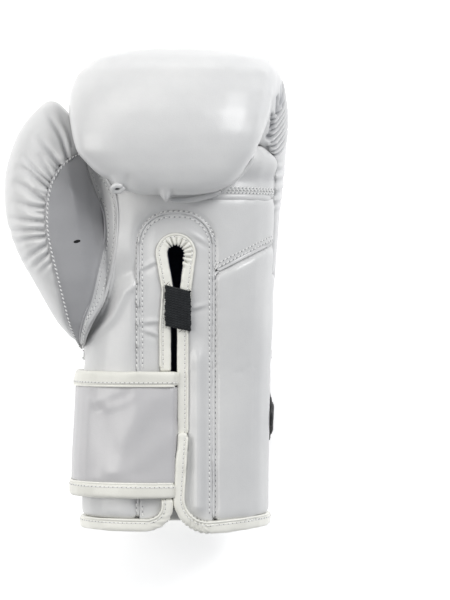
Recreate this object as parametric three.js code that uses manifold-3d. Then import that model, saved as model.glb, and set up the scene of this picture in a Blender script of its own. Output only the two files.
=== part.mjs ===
// Left-hand boxing glove with a padded finger roll, a gathered thumb and a wrist strap.
// It lies on its back with the palm up. Millimetres: +X to the little finger, +Y to the knuckles,
// +Z out of the palm. The shapes are laid out from the hand's axis and the wrist line, and the
// finished group is moved so that its origin is the middle of the underside.
import * as THREE from "three";
import { mergeVertices } from "three/addons/utils/BufferGeometryUtils.js";
import Module from "manifold-3d";

const wasm = await Module();
wasm.setup();

// Overall sizes
const MITT_LENGTH = 198; // wrist line to the front of the fist
const CUFF_LENGTH = 99; // wrist line to the open end
const FIST_WIDTH = 136;
const FIST_HEIGHT = 122; // table to the top of the finger roll
const PALM_HEIGHT = 85; // table to the palm's leather
const CUFF_WIDTH = 119;
const THUMB_LENGTH = 168; // wrist line to the thumb's tip
const THUMB_REACH = 107; // hand's axis to the thumb's outer side

// Walls and padding
const KNUCKLE_PAD = 42;
const SIDE_PAD = 14;
const PALM_WALL = 6;
const CUFF_PAD = 11;
const THUMB_WALL = 9;
const SKIN = 3; // leather with its backing
const LINING = 1.6;
const LINING_HEM = 1; // how far the lining ends inside the open edges
const FINGER_ROOM = 158; // wrist line to the fingertips' end of the lining
const HAND_ROOM_END = 0.97; // share of the finger room kept, where its tip is cut blunt
const THUMB_ROOM_START = 0.24; // shares of the thumb's length
const THUMB_ROOM_END = 0.95;
const GAP = 0.4; // clearance between neighbouring pieces

// Seams and openings, measured from the hand's axis and the wrist line
const SEAM_HEIGHT = 46; // side seam above the table, on the cuff
const MITT_SEAM_HEIGHT = 57; // and above the bolster
const THUMB_SEAM_HEIGHT = 62; // palm's leather ends at this height beside the thumb
const THUMB_SEAM_START = 46; // and from this distance above the wrist line
const GRIP_SEAM_HEIGHT = 75; // grip bar's leather ends at this height beside the thumb
const SIDE_SEAM = 60.8; // hand's axis to the side seam on the mitt
const GRIP_SEAM = 107; // wrist line to the seam below the grip bar
const GRIP_WIDTH = 32;
const GRIP_CORNER = 8;
const SLIT_WIDTH = 4.5;
const SLIT_OFFSET = -1.25; // middle of the slit from the hand's axis
const SLIT_TOP = 28; // wrist line to where the slit begins to bend to its neck
const SLIT_TAPE = 0.88; // share of a binding's width that the slit's tape has
const EYE_RADIUS = 5.6; // round head of the slit
const EYE_HEIGHT = 72.5; // wrist line to the centre of that head
const EYE_SWEEP = 100; // degrees of its rim on each side of its top
const NECK_HEIGHT = 50; // wrist line to the slit's neck below the head
const NECK_SHIFT = 1.7; // how far the neck lies to the little finger's side of the slit
const FACING_WIDTH = 44;
const FACING_TOP = 96;
const FACING_CORNER = 19;
const FACING_DROP = 3; // how far the thin facing lies below the padding
const BOLSTER_TOP = 60.5; // wrist line to the bolster at the facing
const BOLSTER_RISE = 20.5; // how much further it reaches at the side
const BINDING_WIDTH = 7.2;
const BINDING_BEAD = 1; // how far a binding stands proud
const THUMB_FLAP_CORNER = 15.5;
const FINGER_FLAP_CORNER = 22;
const FLAP_SWEEP = 96; // degrees of the rounded corner at the little finger's side
const FLAP_LEAN = 2.4; // how far that flap leans over the slit at the hem
const HEM_LEFT = 1.5; // how much shorter the cuff is at the thumb's side
const HEM_RIGHT = 3; // how much shorter it is at the little finger's side
const BINDING_JOIN = 38.5; // wrist line to the lap of the two bindings
const WELT_WIDTH = 8;
const WELT_START = 6; // wrist line to the welt under the back pad
const WELT_END = WELT_START + WELT_WIDTH;

// Strap and its parts
const STRAP_WIDTH = 77;
const STRAP_THICKNESS = 3.2;
const STRAP_EDGE = 8.5; // width of the strap's binding
const STRAP_CLEAR = 1.2; // air between the strap and the padding
const LOOP_THICKNESS = 2;
const LOOP_TOP = 5; // how far the loop panel shows above the strap
const LOOP_WIDTH = 76;
const LOOP_START = 212; // degrees round the cuff from the little-finger side
const LOOP_SHOULDER = 322; // here it begins to narrow
const LOOP_END = 372;
const TAB_NARROWED = 0.6; // share of the way past the shoulder where it is down to the tab's width
const TAB_BLUNT = 0.35; // share of the tab's width left at its end
const TAB_WIDTH = 22; // loop panel's rounded end on the side
const TAB_CENTRE = 30.5; // below the wrist line
const PATCH_THICKNESS = 0.9;
const ELASTIC_WIDTH = 15.6;
const ELASTIC_LENGTH = 24.5;
const ELASTIC_SLANT = 3.4; // how much lower it was sewn at the little finger's side
const ELASTIC_CENTRE = 1.2;
const ELASTIC_TOP = 53;
const ELASTIC_THICKNESS = 1.8;

// Gathers
const THUMB_PLEATS = 13;
const THUMB_PLEAT_DEPTH = 2.2;
const THUMB_PLEATS_FROM = 0.21; // shares of the thumb's length
const THUMB_PLEATS_TO = 0.89;
const SIDE_PLEATS = 8;
const SIDE_PLEAT_DEPTH = 2.4;
const SIDE_PLEATS_FROM = 0.5; // shares of the mitt's length
const SIDE_PLEATS_TO = 0.885;
const SIDE_PLEATS_LOW = -22; // degrees round the mitt from the little-finger side
const SIDE_PLEATS_HIGH = 50;
const SIDE_PLEATS_FAN = 0.12; // how far the ridges lean over as a share of the gathered length
const SIDE_PLEAT_COLUMNS = 4; // points across the gathers
const PLEAT_STEPS = 3; // sections on each ridge
const PLEAT_ENDS = 1 / 6; // share of a row of pleats over which they rise to their depth
const PLEAT_FADE = 1.5; // power by which the thumb's pleats fade to the side
const PLEAT_RIM = 0.1; // share of their height that the side's pleats keep at their edges

const WRIST_SHARE = 0.15; // share of the mitt over which the cuff's width becomes the fist's
const SQUARE = 2.35; // exponent of the sections: 2 is an ellipse, more is squarer
const ROUND_SIDES = 24;
const ROOM_SIDES = 12;
const THUMB_SIDES = 16;
const THUMB_ROOM_SIDES = 10;
const ARC_STEPS = 6; // pieces of a rounded corner
const SEAM_STEPS = 14; // pieces of a curved seam
const THUMB_SEAM_STEPS = 18;
const RING_SPACING = 0.09; // share of a length between the sections' rings
const FAR = 400; // beyond the glove, for cutters
const WELD = 1e-4; // points nearer than this are one point

// Hand: along is a share of the cuff's length below the wrist or of the mitt's above it, left and
// right are shares of half the cuff's or half the fist's width, back and palm are heights as shares
// of the palm's height, and pad goes from the cuff's wall, 0, to the mitt's padding, 1.
const HAND_SECTIONS = [
  { along: -1.06, left: 1.0, right: 0.965, back: 0.1, palm: 0.94, pad: 0 },
  { along: -0.7, left: 1.01, right: 0.965, back: 0.095, palm: 0.92, pad: 0 },
  { along: -0.35, left: 1.0, right: 0.975, back: 0.09, palm: 0.905, pad: 0 },
  { along: 0, left: 0.99, right: 0.985, back: 0.09, palm: 0.91, pad: 0.1 },
  { along: 0.15, left: 0.8, right: 0.885, back: 0.04, palm: 0.955, pad: 0.45 },
  { along: 0.3, left: 0.765, right: 0.905, back: -0.01, palm: 1.0, pad: 0.8 },
  { along: 0.45, left: 0.785, right: 0.94, back: -0.03, palm: 1.01, pad: 1 },
  { along: 0.6, left: 0.84, right: 0.975, back: -0.03, palm: 1.0, pad: 1 },
  { along: 0.72, left: 0.9, right: 1.0, back: -0.01, palm: 1.02, pad: 1 },
  { along: 0.84, left: 0.94, right: 0.99, back: 0.08, palm: 1.08, pad: 1 },
  { along: 0.92, left: 0.88, right: 0.93, back: 0.2, palm: 1.12, pad: 1 },
  { along: 0.965, left: 0.74, right: 0.83, back: 0.32, palm: 1.08, pad: 1 },
  { along: 0.99, left: 0.52, right: 0.58, back: 0.44, palm: 1.0, pad: 1 },
  { along: 1, left: 0.25, right: 0.3, back: 0.56, palm: 0.88, pad: 1 },
];

// Finger roll: along is a share of the mitt's length, left and right are shares of half the fist's
// width, and low and high are heights as shares of the fist's height.
const ROLL_SECTIONS = [
  { along: 0.538, left: 0.24, right: 0.14, low: 0.8, high: 0.86 },
  { along: 0.547, left: 0.42, right: 0.35, low: 0.765, high: 0.905 },
  { along: 0.57, left: 0.55, right: 0.5, low: 0.74, high: 0.943 },
  { along: 0.61, left: 0.72, right: 0.61, low: 0.73, high: 0.975 },
  { along: 0.665, left: 0.87, right: 0.7, low: 0.73, high: 0.993 },
  { along: 0.72, left: 0.915, right: 0.775, low: 0.64, high: 1.0 },
  { along: 0.785, left: 0.95, right: 0.84, low: 0.48, high: 0.985 },
  { along: 0.855, left: 0.955, right: 0.89, low: 0.33, high: 0.94 },
  { along: 0.92, left: 0.9, right: 0.91, low: 0.26, high: 0.86 },
  { along: 0.965, left: 0.76, right: 0.78, low: 0.28, high: 0.77 },
  { along: 0.99, left: 0.54, right: 0.5, low: 0.35, high: 0.69 },
  { along: 1, left: 0.26, right: 0.22, low: 0.42, high: 0.6 },
];

// Thumb: along is a share of its length, outer and inner are shares of its reach, and low and high
// are heights as shares of the palm's height.
const THUMB_SECTIONS = [
  { along: 0.05, outer: 0.545, inner: 0.47, low: 0.46, high: 0.66 },
  { along: 0.1, outer: 0.585, inner: 0.43, low: 0.4, high: 0.76 },
  { along: 0.18, outer: 0.695, inner: 0.41, low: 0.32, high: 0.88 },
  { along: 0.335, outer: 0.83, inner: 0.39, low: 0.26, high: 0.99 },
  { along: 0.445, outer: 0.925, inner: 0.39, low: 0.235, high: 1.03 },
  { along: 0.555, outer: 0.982, inner: 0.41, low: 0.23, high: 1.05 },
  { along: 0.65, outer: 1.0, inner: 0.43, low: 0.24, high: 1.05 },
  { along: 0.74, outer: 0.99, inner: 0.47, low: 0.26, high: 1.03 },
  { along: 0.85, outer: 0.935, inner: 0.53, low: 0.32, high: 0.97 },
  { along: 0.92, outer: 0.872, inner: 0.585, low: 0.4, high: 0.9 },
  { along: 0.97, outer: 0.8, inner: 0.65, low: 0.5, high: 0.82 },
  { along: 1, outer: 0.755, inner: 0.7, low: 0.6, high: 0.73 },
];

// Passage from the hand's room to the thumb's, in the same shares as the thumb.
const ROOT_SECTIONS = [
  { along: 0.12, outer: 0.44, inner: 0.25, low: 0.46, high: 0.6 },
  { along: 0.2, outer: 0.56, inner: 0.2, low: 0.42, high: 0.64 },
  { along: 0.32, outer: 0.7, inner: 0.2, low: 0.4, high: 0.66 },
  { along: 0.42, outer: 0.76, inner: 0.22, low: 0.42, high: 0.68 },
  { along: 0.48, outer: 0.74, inner: 0.26, low: 0.48, high: 0.64 },
];

// Seams around the thumb, seen from above: along is a share of the thumb's length and reach a share
// of its reach from the hand's axis.
const THUMB_SEAM = [
  { along: 0.08, reach: 0.565 },
  { along: 0.093, reach: 0.574 },
  { along: 0.165, reach: 0.612 },
  { along: 0.25, reach: 0.643 },
  { along: 0.359, reach: 0.68 },
  { along: 0.455, reach: 0.715 },
  { along: 0.528, reach: 0.731 },
  { along: 0.601, reach: 0.729 },
  { along: 0.673, reach: 0.71 },
  { along: 0.722, reach: 0.675 },
  { along: 0.77, reach: 0.615 },
  { along: 0.8, reach: 0.55 },
];
const PANEL_SEAM = [
  { along: 0.1, reach: 0.563 },
  { along: 0.187, reach: 0.535 },
  { along: 0.26, reach: 0.488 },
  { along: 0.37, reach: 0.449 },
  { along: 0.484, reach: 0.413 },
  { along: 0.573, reach: 0.414 },
  { along: 0.64, reach: 0.457 },
  { along: 0.74, reach: 0.51 },
  { along: 0.85, reach: 0.548 },
];
const PALM_SEAM = [
  { along: 0.08, reach: 0.552 },
  { along: 0.17, reach: 0.497 },
  { along: 0.26, reach: 0.42 },
  { along: 0.37, reach: 0.37 },
  { along: 0.463, reach: 0.34 },
  { along: 0.555, reach: 0.33 },
  { along: 0.63, reach: 0.34 },
  { along: 0.69, reach: 0.385 },
  { along: 0.74, reach: 0.44 },
  { along: 0.85, reach: 0.505 },
];

const mix = (a, b, t) => a + (b - a) * t;
const radians = THREE.MathUtils.degToRad;
const signedPower = (v, p) => Math.sign(v) * Math.abs(v) ** p;

// A row of the table at any place along it, on a smooth curve through the rows.
function rowAt(table, along, key = "along") {
  let i = table.findIndex((row) => row[key] >= along) - 1;
  if (i < 0) i = along <= table[0][key] ? 0 : table.length - 2;
  const [a, b] = [table[i], table[i + 1]];
  const [before, after] = [table[i - 1] ?? a, table[i + 2] ?? b];
  const span = b[key] - a[key];
  const t = (along - a[key]) / span;
  const row = { [key]: along };
  for (const name of Object.keys(a)) {
    if (name === key) continue;
    const slopeA = ((b[name] - before[name]) / (b[key] - before[key])) * span;
    const slopeB = ((after[name] - a[name]) / (after[key] - a[key])) * span;
    const [t2, t3] = [t * t, t * t * t];
    row[name] =
      (2 * t3 - 3 * t2 + 1) * a[name] +
      (t3 - 2 * t2 + t) * slopeA +
      (3 * t2 - 2 * t3) * b[name] +
      (t3 - t2) * slopeB;
  }
  return row;
}

// A closed mesh as a solid, turned the right way out.
function solidFrom(geometry) {
  const bare = geometry.clone();
  bare.deleteAttribute("normal");
  bare.deleteAttribute("uv");
  const merged = mergeVertices(bare, WELD);
  const vertProperties = merged.attributes.position.array;
  const triVerts = new Uint32Array(merged.index.array);
  const made = new wasm.Manifold(new wasm.Mesh({ numProp: 3, vertProperties, triVerts }));
  if (made.volume() > 0) return made;
  for (let i = 0; i < triVerts.length; i += 3)
    [triVerts[i + 1], triVerts[i + 2]] = [triVerts[i + 2], triVerts[i + 1]];
  return new wasm.Manifold(new wasm.Mesh({ numProp: 3, vertProperties, triVerts }));
}

function geometryFrom(points, faces) {
  const geometry = new THREE.BufferGeometry().setFromPoints(points);
  return geometry.setIndex(faces);
}

// A closed skin over rings of points, with a flat fan over each end.
function loft(rings) {
  const sides = rings[0].length;
  const points = rings.flat();
  const faces = [];
  for (let r = 0; r + 1 < rings.length; r++)
    for (let s = 0; s < sides; s++) {
      const [a, b] = [r * sides + s, r * sides + ((s + 1) % sides)];
      faces.push(a, b, a + sides, b, b + sides, a + sides);
    }
  for (const [ring, turned] of [[0, true], [rings.length - 1, false]]) {
    const middle = new THREE.Vector3();
    rings[ring].forEach((p) => middle.addScaledVector(p, 1 / sides));
    const centre = points.push(middle) - 1;
    for (let s = 0; s < sides; s++) {
      const [a, b] = [ring * sides + s, ring * sides + ((s + 1) % sides)];
      faces.push(...(turned ? [b, a, centre] : [a, b, centre]));
    }
  }
  return solidFrom(geometryFrom(points, faces));
}

// A closed slab between two sheets of points, at(u, v, side) with side 0 inside and 1 outside.
function slab(columns, rows, at) {
  const points = [];
  for (const side of [0, 1])
    for (let r = 0; r <= rows; r++)
      for (let c = 0; c <= columns; c++) points.push(at(c / columns, r / rows, side));
  const index = (c, r, side) => (side * (rows + 1) + r) * (columns + 1) + c;
  const faces = [];
  const quad = (a, b, c, d) => faces.push(a, b, c, a, c, d);
  for (let r = 0; r < rows; r++)
    for (let c = 0; c < columns; c++) {
      quad(index(c, r, 1), index(c + 1, r, 1), index(c + 1, r + 1, 1), index(c, r + 1, 1));
      quad(index(c, r, 0), index(c, r + 1, 0), index(c + 1, r + 1, 0), index(c + 1, r, 0));
    }
  for (let c = 0; c < columns; c++) {
    quad(index(c, 0, 0), index(c + 1, 0, 0), index(c + 1, 0, 1), index(c, 0, 1));
    quad(index(c + 1, rows, 0), index(c, rows, 0), index(c, rows, 1), index(c + 1, rows, 1));
  }
  for (let r = 0; r < rows; r++) {
    quad(index(0, r + 1, 0), index(0, r, 0), index(0, r, 1), index(0, r + 1, 1));
    quad(index(columns, r, 0), index(columns, r + 1, 0), index(columns, r + 1, 1), index(columns, r, 1));
  }
  return solidFrom(geometryFrom(points, faces));
}

// A block between two heights under an outline drawn from above.
function prism(outline, low = SEAM_HEIGHT, high = FAR) {
  const shape = new THREE.Shape(outline.map(([x, y]) => new THREE.Vector2(x, y)));
  const geometry = new THREE.ExtrudeGeometry(shape, { depth: high - low, bevelEnabled: false });
  return solidFrom(geometry.translate(0, 0, low));
}

function block(x0, x1, y0, y1, z0, z1) {
  const geometry = new THREE.BoxGeometry(x1 - x0, y1 - y0, z1 - z0);
  return solidFrom(geometry.translate((x0 + x1) / 2, (y0 + y1) / 2, (z0 + z1) / 2));
}

// The stretch of glove between two distances from the wrist line, within two heights.
const stretch = (y0, y1, z0 = -FAR, z1 = FAR) => block(-FAR, FAR, y0, y1, z0, z1);

// A section: left and right from the hand's axis, low and high from the table.
function sectionPoint(section, turn, lift = 0) {
  const c = Math.cos(turn);
  const s = Math.sin(turn);
  const middleX = (section.left + section.right) / 2;
  const middleZ = (section.low + section.high) / 2;
  const reach = (c >= 0 ? section.right - middleX : middleX - section.left) + lift;
  const rise = (section.high - section.low) / 2 + lift;
  return new THREE.Vector3(
    middleX + reach * signedPower(c, 2 / SQUARE),
    section.y,
    middleZ + rise * signedPower(s, 2 / SQUARE),
  );
}

function ringOf(section, sides, pushOut = () => 0) {
  return Array.from({ length: sides }, (_, i) => {
    const turn = (2 * Math.PI * i) / sides;
    return sectionPoint(section, turn, pushOut(section, turn));
  });
}

// The hand's section, taken in all round by inset, or by its own padding to reach the room inside.
function handSection(along, { inset = 0, room = false, length = MITT_LENGTH } = {}) {
  const row = rowAt(HAND_SECTIONS, along);
  const half = mix(CUFF_WIDTH, FIST_WIDTH, Math.min(1, Math.max(0, along / WRIST_SHARE))) / 2;
  const pad = room ? Math.min(1, Math.max(0, row.pad)) : 0;
  const [side, back, palm] = room
    ? [mix(CUFF_PAD, SIDE_PAD, pad), mix(CUFF_PAD, KNUCKLE_PAD, pad), mix(CUFF_PAD, PALM_WALL, pad)]
    : [0, 0, 0];
  return {
    y: along > 0 ? along * (length - inset) : along * CUFF_LENGTH,
    left: -row.left * half + side + inset,
    right: row.right * half - side - inset,
    low: row.back * PALM_HEIGHT + back + inset,
    high: (room ? Math.min(1, row.palm) : row.palm) * PALM_HEIGHT - palm - inset,
  };
}

// Places along a table: its own rows, with some between them where they lie far apart, up to an end.
function places(table, end = 1, spacing = RING_SPACING) {
  const list = [];
  table.slice(0, -1).forEach((row, i) => {
    const next = table[i + 1].along;
    const steps = row.along < 0 ? 1 : Math.max(1, Math.round((next - row.along) / spacing));
    for (let k = 0; k < steps; k++) list.push(mix(row.along, next, k / steps));
  });
  return [...list.filter((along) => along < end - RING_SPACING / 10), end];
}

const hand = (inset = 0) =>
  loft(places(HAND_SECTIONS).map((along) => ringOf(handSection(along, { inset }), ROUND_SIDES)));

const handRoom = (inset = 0) =>
  loft(
    places(HAND_SECTIONS, HAND_ROOM_END, 2 * RING_SPACING).map((along) =>
      ringOf(handSection(along, { inset, room: true, length: FINGER_ROOM }), ROOM_SIDES),
    ),
  );

const finger = (row, inset) => ({
  y: row.along * (MITT_LENGTH - inset),
  left: (-row.left * FIST_WIDTH) / 2 + inset,
  right: (row.right * FIST_WIDTH) / 2 - inset,
  low: row.low * FIST_HEIGHT + inset,
  high: row.high * FIST_HEIGHT - inset,
});

const fingerRoll = (inset = 0) =>
  loft(
    places(ROLL_SECTIONS).map((along) =>
      ringOf(finger(rowAt(ROLL_SECTIONS, along), inset), ROUND_SIDES),
    ),
  );

const thumbSection = (table, along, inset) => {
  const row = rowAt(table, along);
  const [first, last] = [table[0].along, table.at(-1).along];
  return {
    along,
    y: along * THUMB_LENGTH + mix(inset, -inset, (along - first) / (last - first)),
    left: -row.outer * THUMB_REACH + inset,
    right: -row.inner * THUMB_REACH - inset,
    low: row.low * PALM_HEIGHT + inset,
    high: row.high * PALM_HEIGHT - inset,
  };
};

// Ridges across the thumb's outer leather, deepest at the seam on top and gone at the side.
function thumbPleat(section, turn) {
  const along = (section.along - THUMB_PLEATS_FROM) / (THUMB_PLEATS_TO - THUMB_PLEATS_FROM);
  const round = turn / (Math.PI / 2) - 1;
  if (along <= 0 || along >= 1 || round < -PLEAT_RIM || round > 1) return 0;
  const ends = Math.min(1, along / PLEAT_ENDS, (1 - along) / PLEAT_ENDS);
  const fade = (1 - Math.max(0, round)) ** PLEAT_FADE;
  const ridge = (1 + Math.cos(2 * Math.PI * THUMB_PLEATS * along)) / 2;
  return -THUMB_PLEAT_DEPTH * ends * fade * ridge;
}

const thumb = (inset = 0) =>
  loft(
    places(THUMB_SECTIONS).map((along) =>
      ringOf(thumbSection(THUMB_SECTIONS, along, inset), THUMB_SIDES),
    ),
  );

function gatheredThumb() {
  const steps = PLEAT_STEPS * THUMB_PLEATS;
  const pleated = Array.from({ length: steps + 1 }, (_, i) =>
    mix(THUMB_PLEATS_FROM, THUMB_PLEATS_TO, i / steps),
  );
  const plain = places(THUMB_SECTIONS).filter(
    (along) => along < THUMB_PLEATS_FROM || along > THUMB_PLEATS_TO,
  );
  return loft(
    [...pleated, ...plain]
      .sort((a, b) => a - b)
      .map((along) => ringOf(thumbSection(THUMB_SECTIONS, along, 0), THUMB_SIDES, thumbPleat)),
  );
}

const thumbRoom = (inset = 0) =>
  loft(
    places(THUMB_SECTIONS, THUMB_ROOM_END, 2 * RING_SPACING)
      .filter((along) => along > THUMB_ROOM_START)
      .map((along) => ringOf(thumbSection(THUMB_SECTIONS, along, THUMB_WALL + inset), THUMB_ROOM_SIDES)),
  );

const thumbRoot = (inset = 0) =>
  loft(
    places(ROOT_SECTIONS, ROOT_SECTIONS.at(-1).along).map((along) =>
      ringOf(thumbSection(ROOT_SECTIONS, along, inset), THUMB_ROOM_SIDES),
    ),
  );

const rooms = (inset = 0) => handRoom(inset).add(thumbRoot(inset)).add(thumbRoom(inset));

// Outlines drawn from above
const seamPoints = (seam, steps = SEAM_STEPS) =>
  new THREE.SplineCurve(
    seam.map((row) => new THREE.Vector2(-row.reach * THUMB_REACH, row.along * THUMB_LENGTH)),
  )
    .getPoints(steps)
    .map((p) => [p.x, p.y]);

function arc(x, y, radius, from, to, steps) {
  return Array.from({ length: steps + 1 }, (_, i) => {
    const turn = radians(mix(from, to, i / steps));
    return [x + radius * Math.cos(turn), y + radius * Math.sin(turn)];
  });
}

// Moves an outline's points inwards by distance, for the clearance at a seam.
function inset(outline, distance) {
  const signedArea = outline.reduce((sum, [x, y], i) => {
    const [nx, ny] = outline[(i + 1) % outline.length];
    return sum + x * ny - nx * y;
  }, 0);
  const way = Math.sign(signedArea);
  return outline.map((here, i) => {
    const p = new THREE.Vector2(...here);
    const back = new THREE.Vector2(...outline.at(i - 1)).sub(p).negate().normalize();
    const on = new THREE.Vector2(...outline[(i + 1) % outline.length]).sub(p).normalize();
    const normal = new THREE.Vector2(-back.y - on.y, back.x + on.x).normalize();
    const miter = Math.max(0.5, normal.dot(new THREE.Vector2(-on.y, on.x)));
    p.addScaledVector(normal, (way * distance) / miter);
    return [p.x, p.y];
  });
}

// The air of the slit and beyond the hem, grown by the width of a binding.
function openAir(grow = 0) {
  const tape = SLIT_TAPE * grow;
  const [left, right] = [SLIT_OFFSET - SLIT_WIDTH / 2 - tape, SLIT_OFFSET + SLIT_WIDTH / 2 + tape];
  const thumbCorner = THUMB_FLAP_CORNER - grow;
  const fingerCorner = FINGER_FLAP_CORNER - grow;
  const hem = -CUFF_LENGTH + grow;
  const edge = right - FLAP_LEAN;
  return [
    [-FAR, hem + HEM_LEFT],
    ...arc(left - thumbCorner, hem + HEM_LEFT + thumbCorner, thumbCorner, -90, 0, ARC_STEPS),
    [left, SLIT_TOP],
    [left + NECK_SHIFT, NECK_HEIGHT],
    ...arc(0, EYE_HEIGHT, EYE_RADIUS + tape, 90 + EYE_SWEEP, 90 - EYE_SWEEP, 2 * ARC_STEPS),
    [right + NECK_SHIFT, NECK_HEIGHT],
    [right, SLIT_TOP],
    [right, -BINDING_JOIN],
    ...arc(edge + fingerCorner, hem + fingerCorner, fingerCorner, 180, 180 + FLAP_SWEEP, ARC_STEPS),
    [CUFF_WIDTH / 2, hem + HEM_RIGHT],
    [FAR, hem + HEM_RIGHT],
    [FAR, -FAR],
    [-FAR, -FAR],
  ];
}

// The air beyond the hem at the cuff's back.
function backAir(grow = 0) {
  const hem = -CUFF_LENGTH + grow;
  const side = CUFF_WIDTH / 2;
  return [
    [-FAR, hem + HEM_LEFT],
    [-side, hem + HEM_LEFT],
    [side, hem + HEM_RIGHT],
    [FAR, hem + HEM_RIGHT],
    [FAR, -FAR],
    [-FAR, -FAR],
  ];
}
const hemZone = (from, to) =>
  prism(backAir(to), -FAR, SEAM_HEIGHT + GAP).subtract(prism(backAir(from), -FAR, FAR));

// The arch of the facing round the slit.
function facingArch() {
  const half = FACING_WIDTH / 2;
  const shoulder = FACING_TOP - FACING_CORNER;
  return [
    [-half, -FAR],
    ...arc(-half + FACING_CORNER, shoulder, FACING_CORNER, 180, 90, ARC_STEPS),
    ...arc(half - FACING_CORNER, shoulder, FACING_CORNER, 90, 0, ARC_STEPS),
    [half, -FAR],
  ];
}

const bolsterOutline = () => [
  [FACING_WIDTH / 2 - GAP, -FAR],
  [FACING_WIDTH / 2 - GAP, BOLSTER_TOP],
  [SIDE_SEAM, BOLSTER_TOP + BOLSTER_RISE],
  [SIDE_SEAM, BOLSTER_TOP],
  [FAR, BOLSTER_TOP],
  [FAR, -FAR],
];

function palmOutline() {
  const end = GRIP_SEAM + GRIP_WIDTH;
  const seam = seamPoints(PALM_SEAM).filter(([, y]) => y < end - SKIN);
  return [
    [-FAR, -FAR],
    [-FAR, PALM_SEAM[0].along * THUMB_LENGTH],
    ...seam,
    [seam.at(-1)[0], end],
    [SIDE_SEAM - GRIP_CORNER, end],
    [SIDE_SEAM, end - GRIP_CORNER],
    [SIDE_SEAM, BOLSTER_TOP],
    [FAR, BOLSTER_TOP],
    [FAR, -FAR],
  ];
}

const thumbPanelOutline = () => [
  ...seamPoints(THUMB_SEAM, THUMB_SEAM_STEPS),
  ...seamPoints(PANEL_SEAM).reverse(),
];

const gussetOutline = () => [...seamPoints(PANEL_SEAM), ...seamPoints(PALM_SEAM).reverse()];

// Below the palm's leather on the mitt: its seams lie higher there than on the cuff.
const belowSeams = () =>
  block(-FAR, 0, THUMB_SEAM_START, FAR, 0, THUMB_SEAM_HEIGHT)
    .add(block(-FAR, FAR, BOLSTER_TOP, FAR, 0, MITT_SEAM_HEIGHT))
    .add(block(-FAR, 0, GRIP_SEAM + GRIP_WIDTH / 2, FAR, 0, GRIP_SEAM_HEIGHT));

// Solids that several pieces are cut from
const wall = hand().subtract(rooms());
const lowWall = hand(FACING_DROP).subtract(rooms());
const palmSide = prism(palmOutline()).subtract(belowSeams());
const skinned = hand().add(thumb());
const underSkin = hand(SKIN).add(thumb(SKIN));
const bodyUnderSkin = hand(SKIN + GAP).add(thumb(SKIN + GAP));
const bindings = prism(openAir(BINDING_WIDTH + GAP / 2));
const aboveTable = stretch(-FAR, FAR, 0, FAR);

const skinZone = (outline) => prism(inset(outline, -GAP / 2)).subtract(bodyUnderSkin);
const skinPiece = (outline) =>
  skinned
    .subtract(underSkin)
    .subtract(rooms())
    .intersect(prism(inset(outline, GAP / 2), SEAM_HEIGHT + GAP));

// Pleats on the little-finger side, as a thin slab that joins the mitt.
const sideGathers = () =>
  slab(SIDE_PLEAT_COLUMNS, PLEAT_STEPS * SIDE_PLEATS, (u, v, side) => {
    const along = mix(SIDE_PLEATS_FROM, SIDE_PLEATS_TO, v);
    const turn = radians(mix(SIDE_PLEATS_LOW, SIDE_PLEATS_HIGH, u));
    const fan = v + SIDE_PLEATS_FAN * (u - 0.5);
    const ridge = (1 - Math.cos(2 * Math.PI * SIDE_PLEATS * fan)) / 2;
    const ends = Math.min(1, v / PLEAT_ENDS, (1 - v) / PLEAT_ENDS);
    const sides = PLEAT_RIM + SIDE_PLEAT_COLUMNS * Math.min(u, 1 - u);
    const edge = Math.min(ends, sides);
    const lift = side ? SIDE_PLEAT_DEPTH * edge * ridge - GAP / 2 : -SKIN;
    return sectionPoint(handSection(along), turn, lift);
  });

const paddedMitt = () =>
  hand()
    .intersect(stretch(WELT_END + GAP, FAR))
    .add(sideGathers())
    .subtract(palmSide)
    .subtract(skinZone(gussetOutline()))
    .subtract(skinZone(thumbPanelOutline()))
    .add(fingerRoll())
    .subtract(rooms())
    .intersect(aboveTable);

const palmPanel = () =>
  wall
    .intersect(prism(inset(palmOutline(), GAP / 2), SEAM_HEIGHT + GAP))
    .intersect(stretch(-FAR, GRIP_SEAM - GAP / 2))
    .subtract(belowSeams())
    .subtract(prism(inset(facingArch(), -GAP / 2)))
    .subtract(prism(inset(bolsterOutline(), -GAP / 2)))
    .subtract(bindings);

const gripBar = () =>
  wall
    .intersect(prism(inset(palmOutline(), GAP / 2), SEAM_HEIGHT + GAP))
    .intersect(stretch(GRIP_SEAM + GAP / 2, FAR))
    .subtract(fingerRoll(-GAP))
    .subtract(belowSeams());

const wristBolster = () =>
  wall
    .intersect(prism(inset(bolsterOutline(), GAP / 2), SEAM_HEIGHT + GAP))
    .subtract(belowSeams())
    .subtract(prism(inset(facingArch(), -GAP / 2)))
    .subtract(bindings);

const slitFacing = () =>
  lowWall
    .intersect(prism(inset(facingArch(), GAP / 2)))
    .subtract(bindings)
    .subtract(strapPocket());

const bindingBand = (depth) => hand(FACING_DROP - BINDING_BEAD).subtract(hand(depth));
const bindingZone = () => prism(openAir(BINDING_WIDTH - GAP / 2)).subtract(prism(openAir()));

const slitBinding = () =>
  bindingBand(PALM_WALL)
    .subtract(rooms())
    .intersect(bindingZone())
    .intersect(stretch(-BINDING_JOIN + GAP / 2, FAR, SEAM_HEIGHT))
    .subtract(strapPocket());

const cuffBinding = () =>
  hand(-BINDING_BEAD)
    .subtract(hand(CUFF_PAD - GAP))
    .intersect(
      bindingZone()
        .intersect(stretch(-FAR, -BINDING_JOIN - GAP / 2))
        .add(hemZone(0, BINDING_WIDTH - GAP / 2)),
    )
    .subtract(strapPocket());

const cuffBackPad = () =>
  wall
    .intersect(stretch(-FAR, WELT_START - GAP, -FAR, SEAM_HEIGHT))
    .subtract(prism(backAir(BINDING_WIDTH + GAP / 2), -FAR, FAR));

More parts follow.
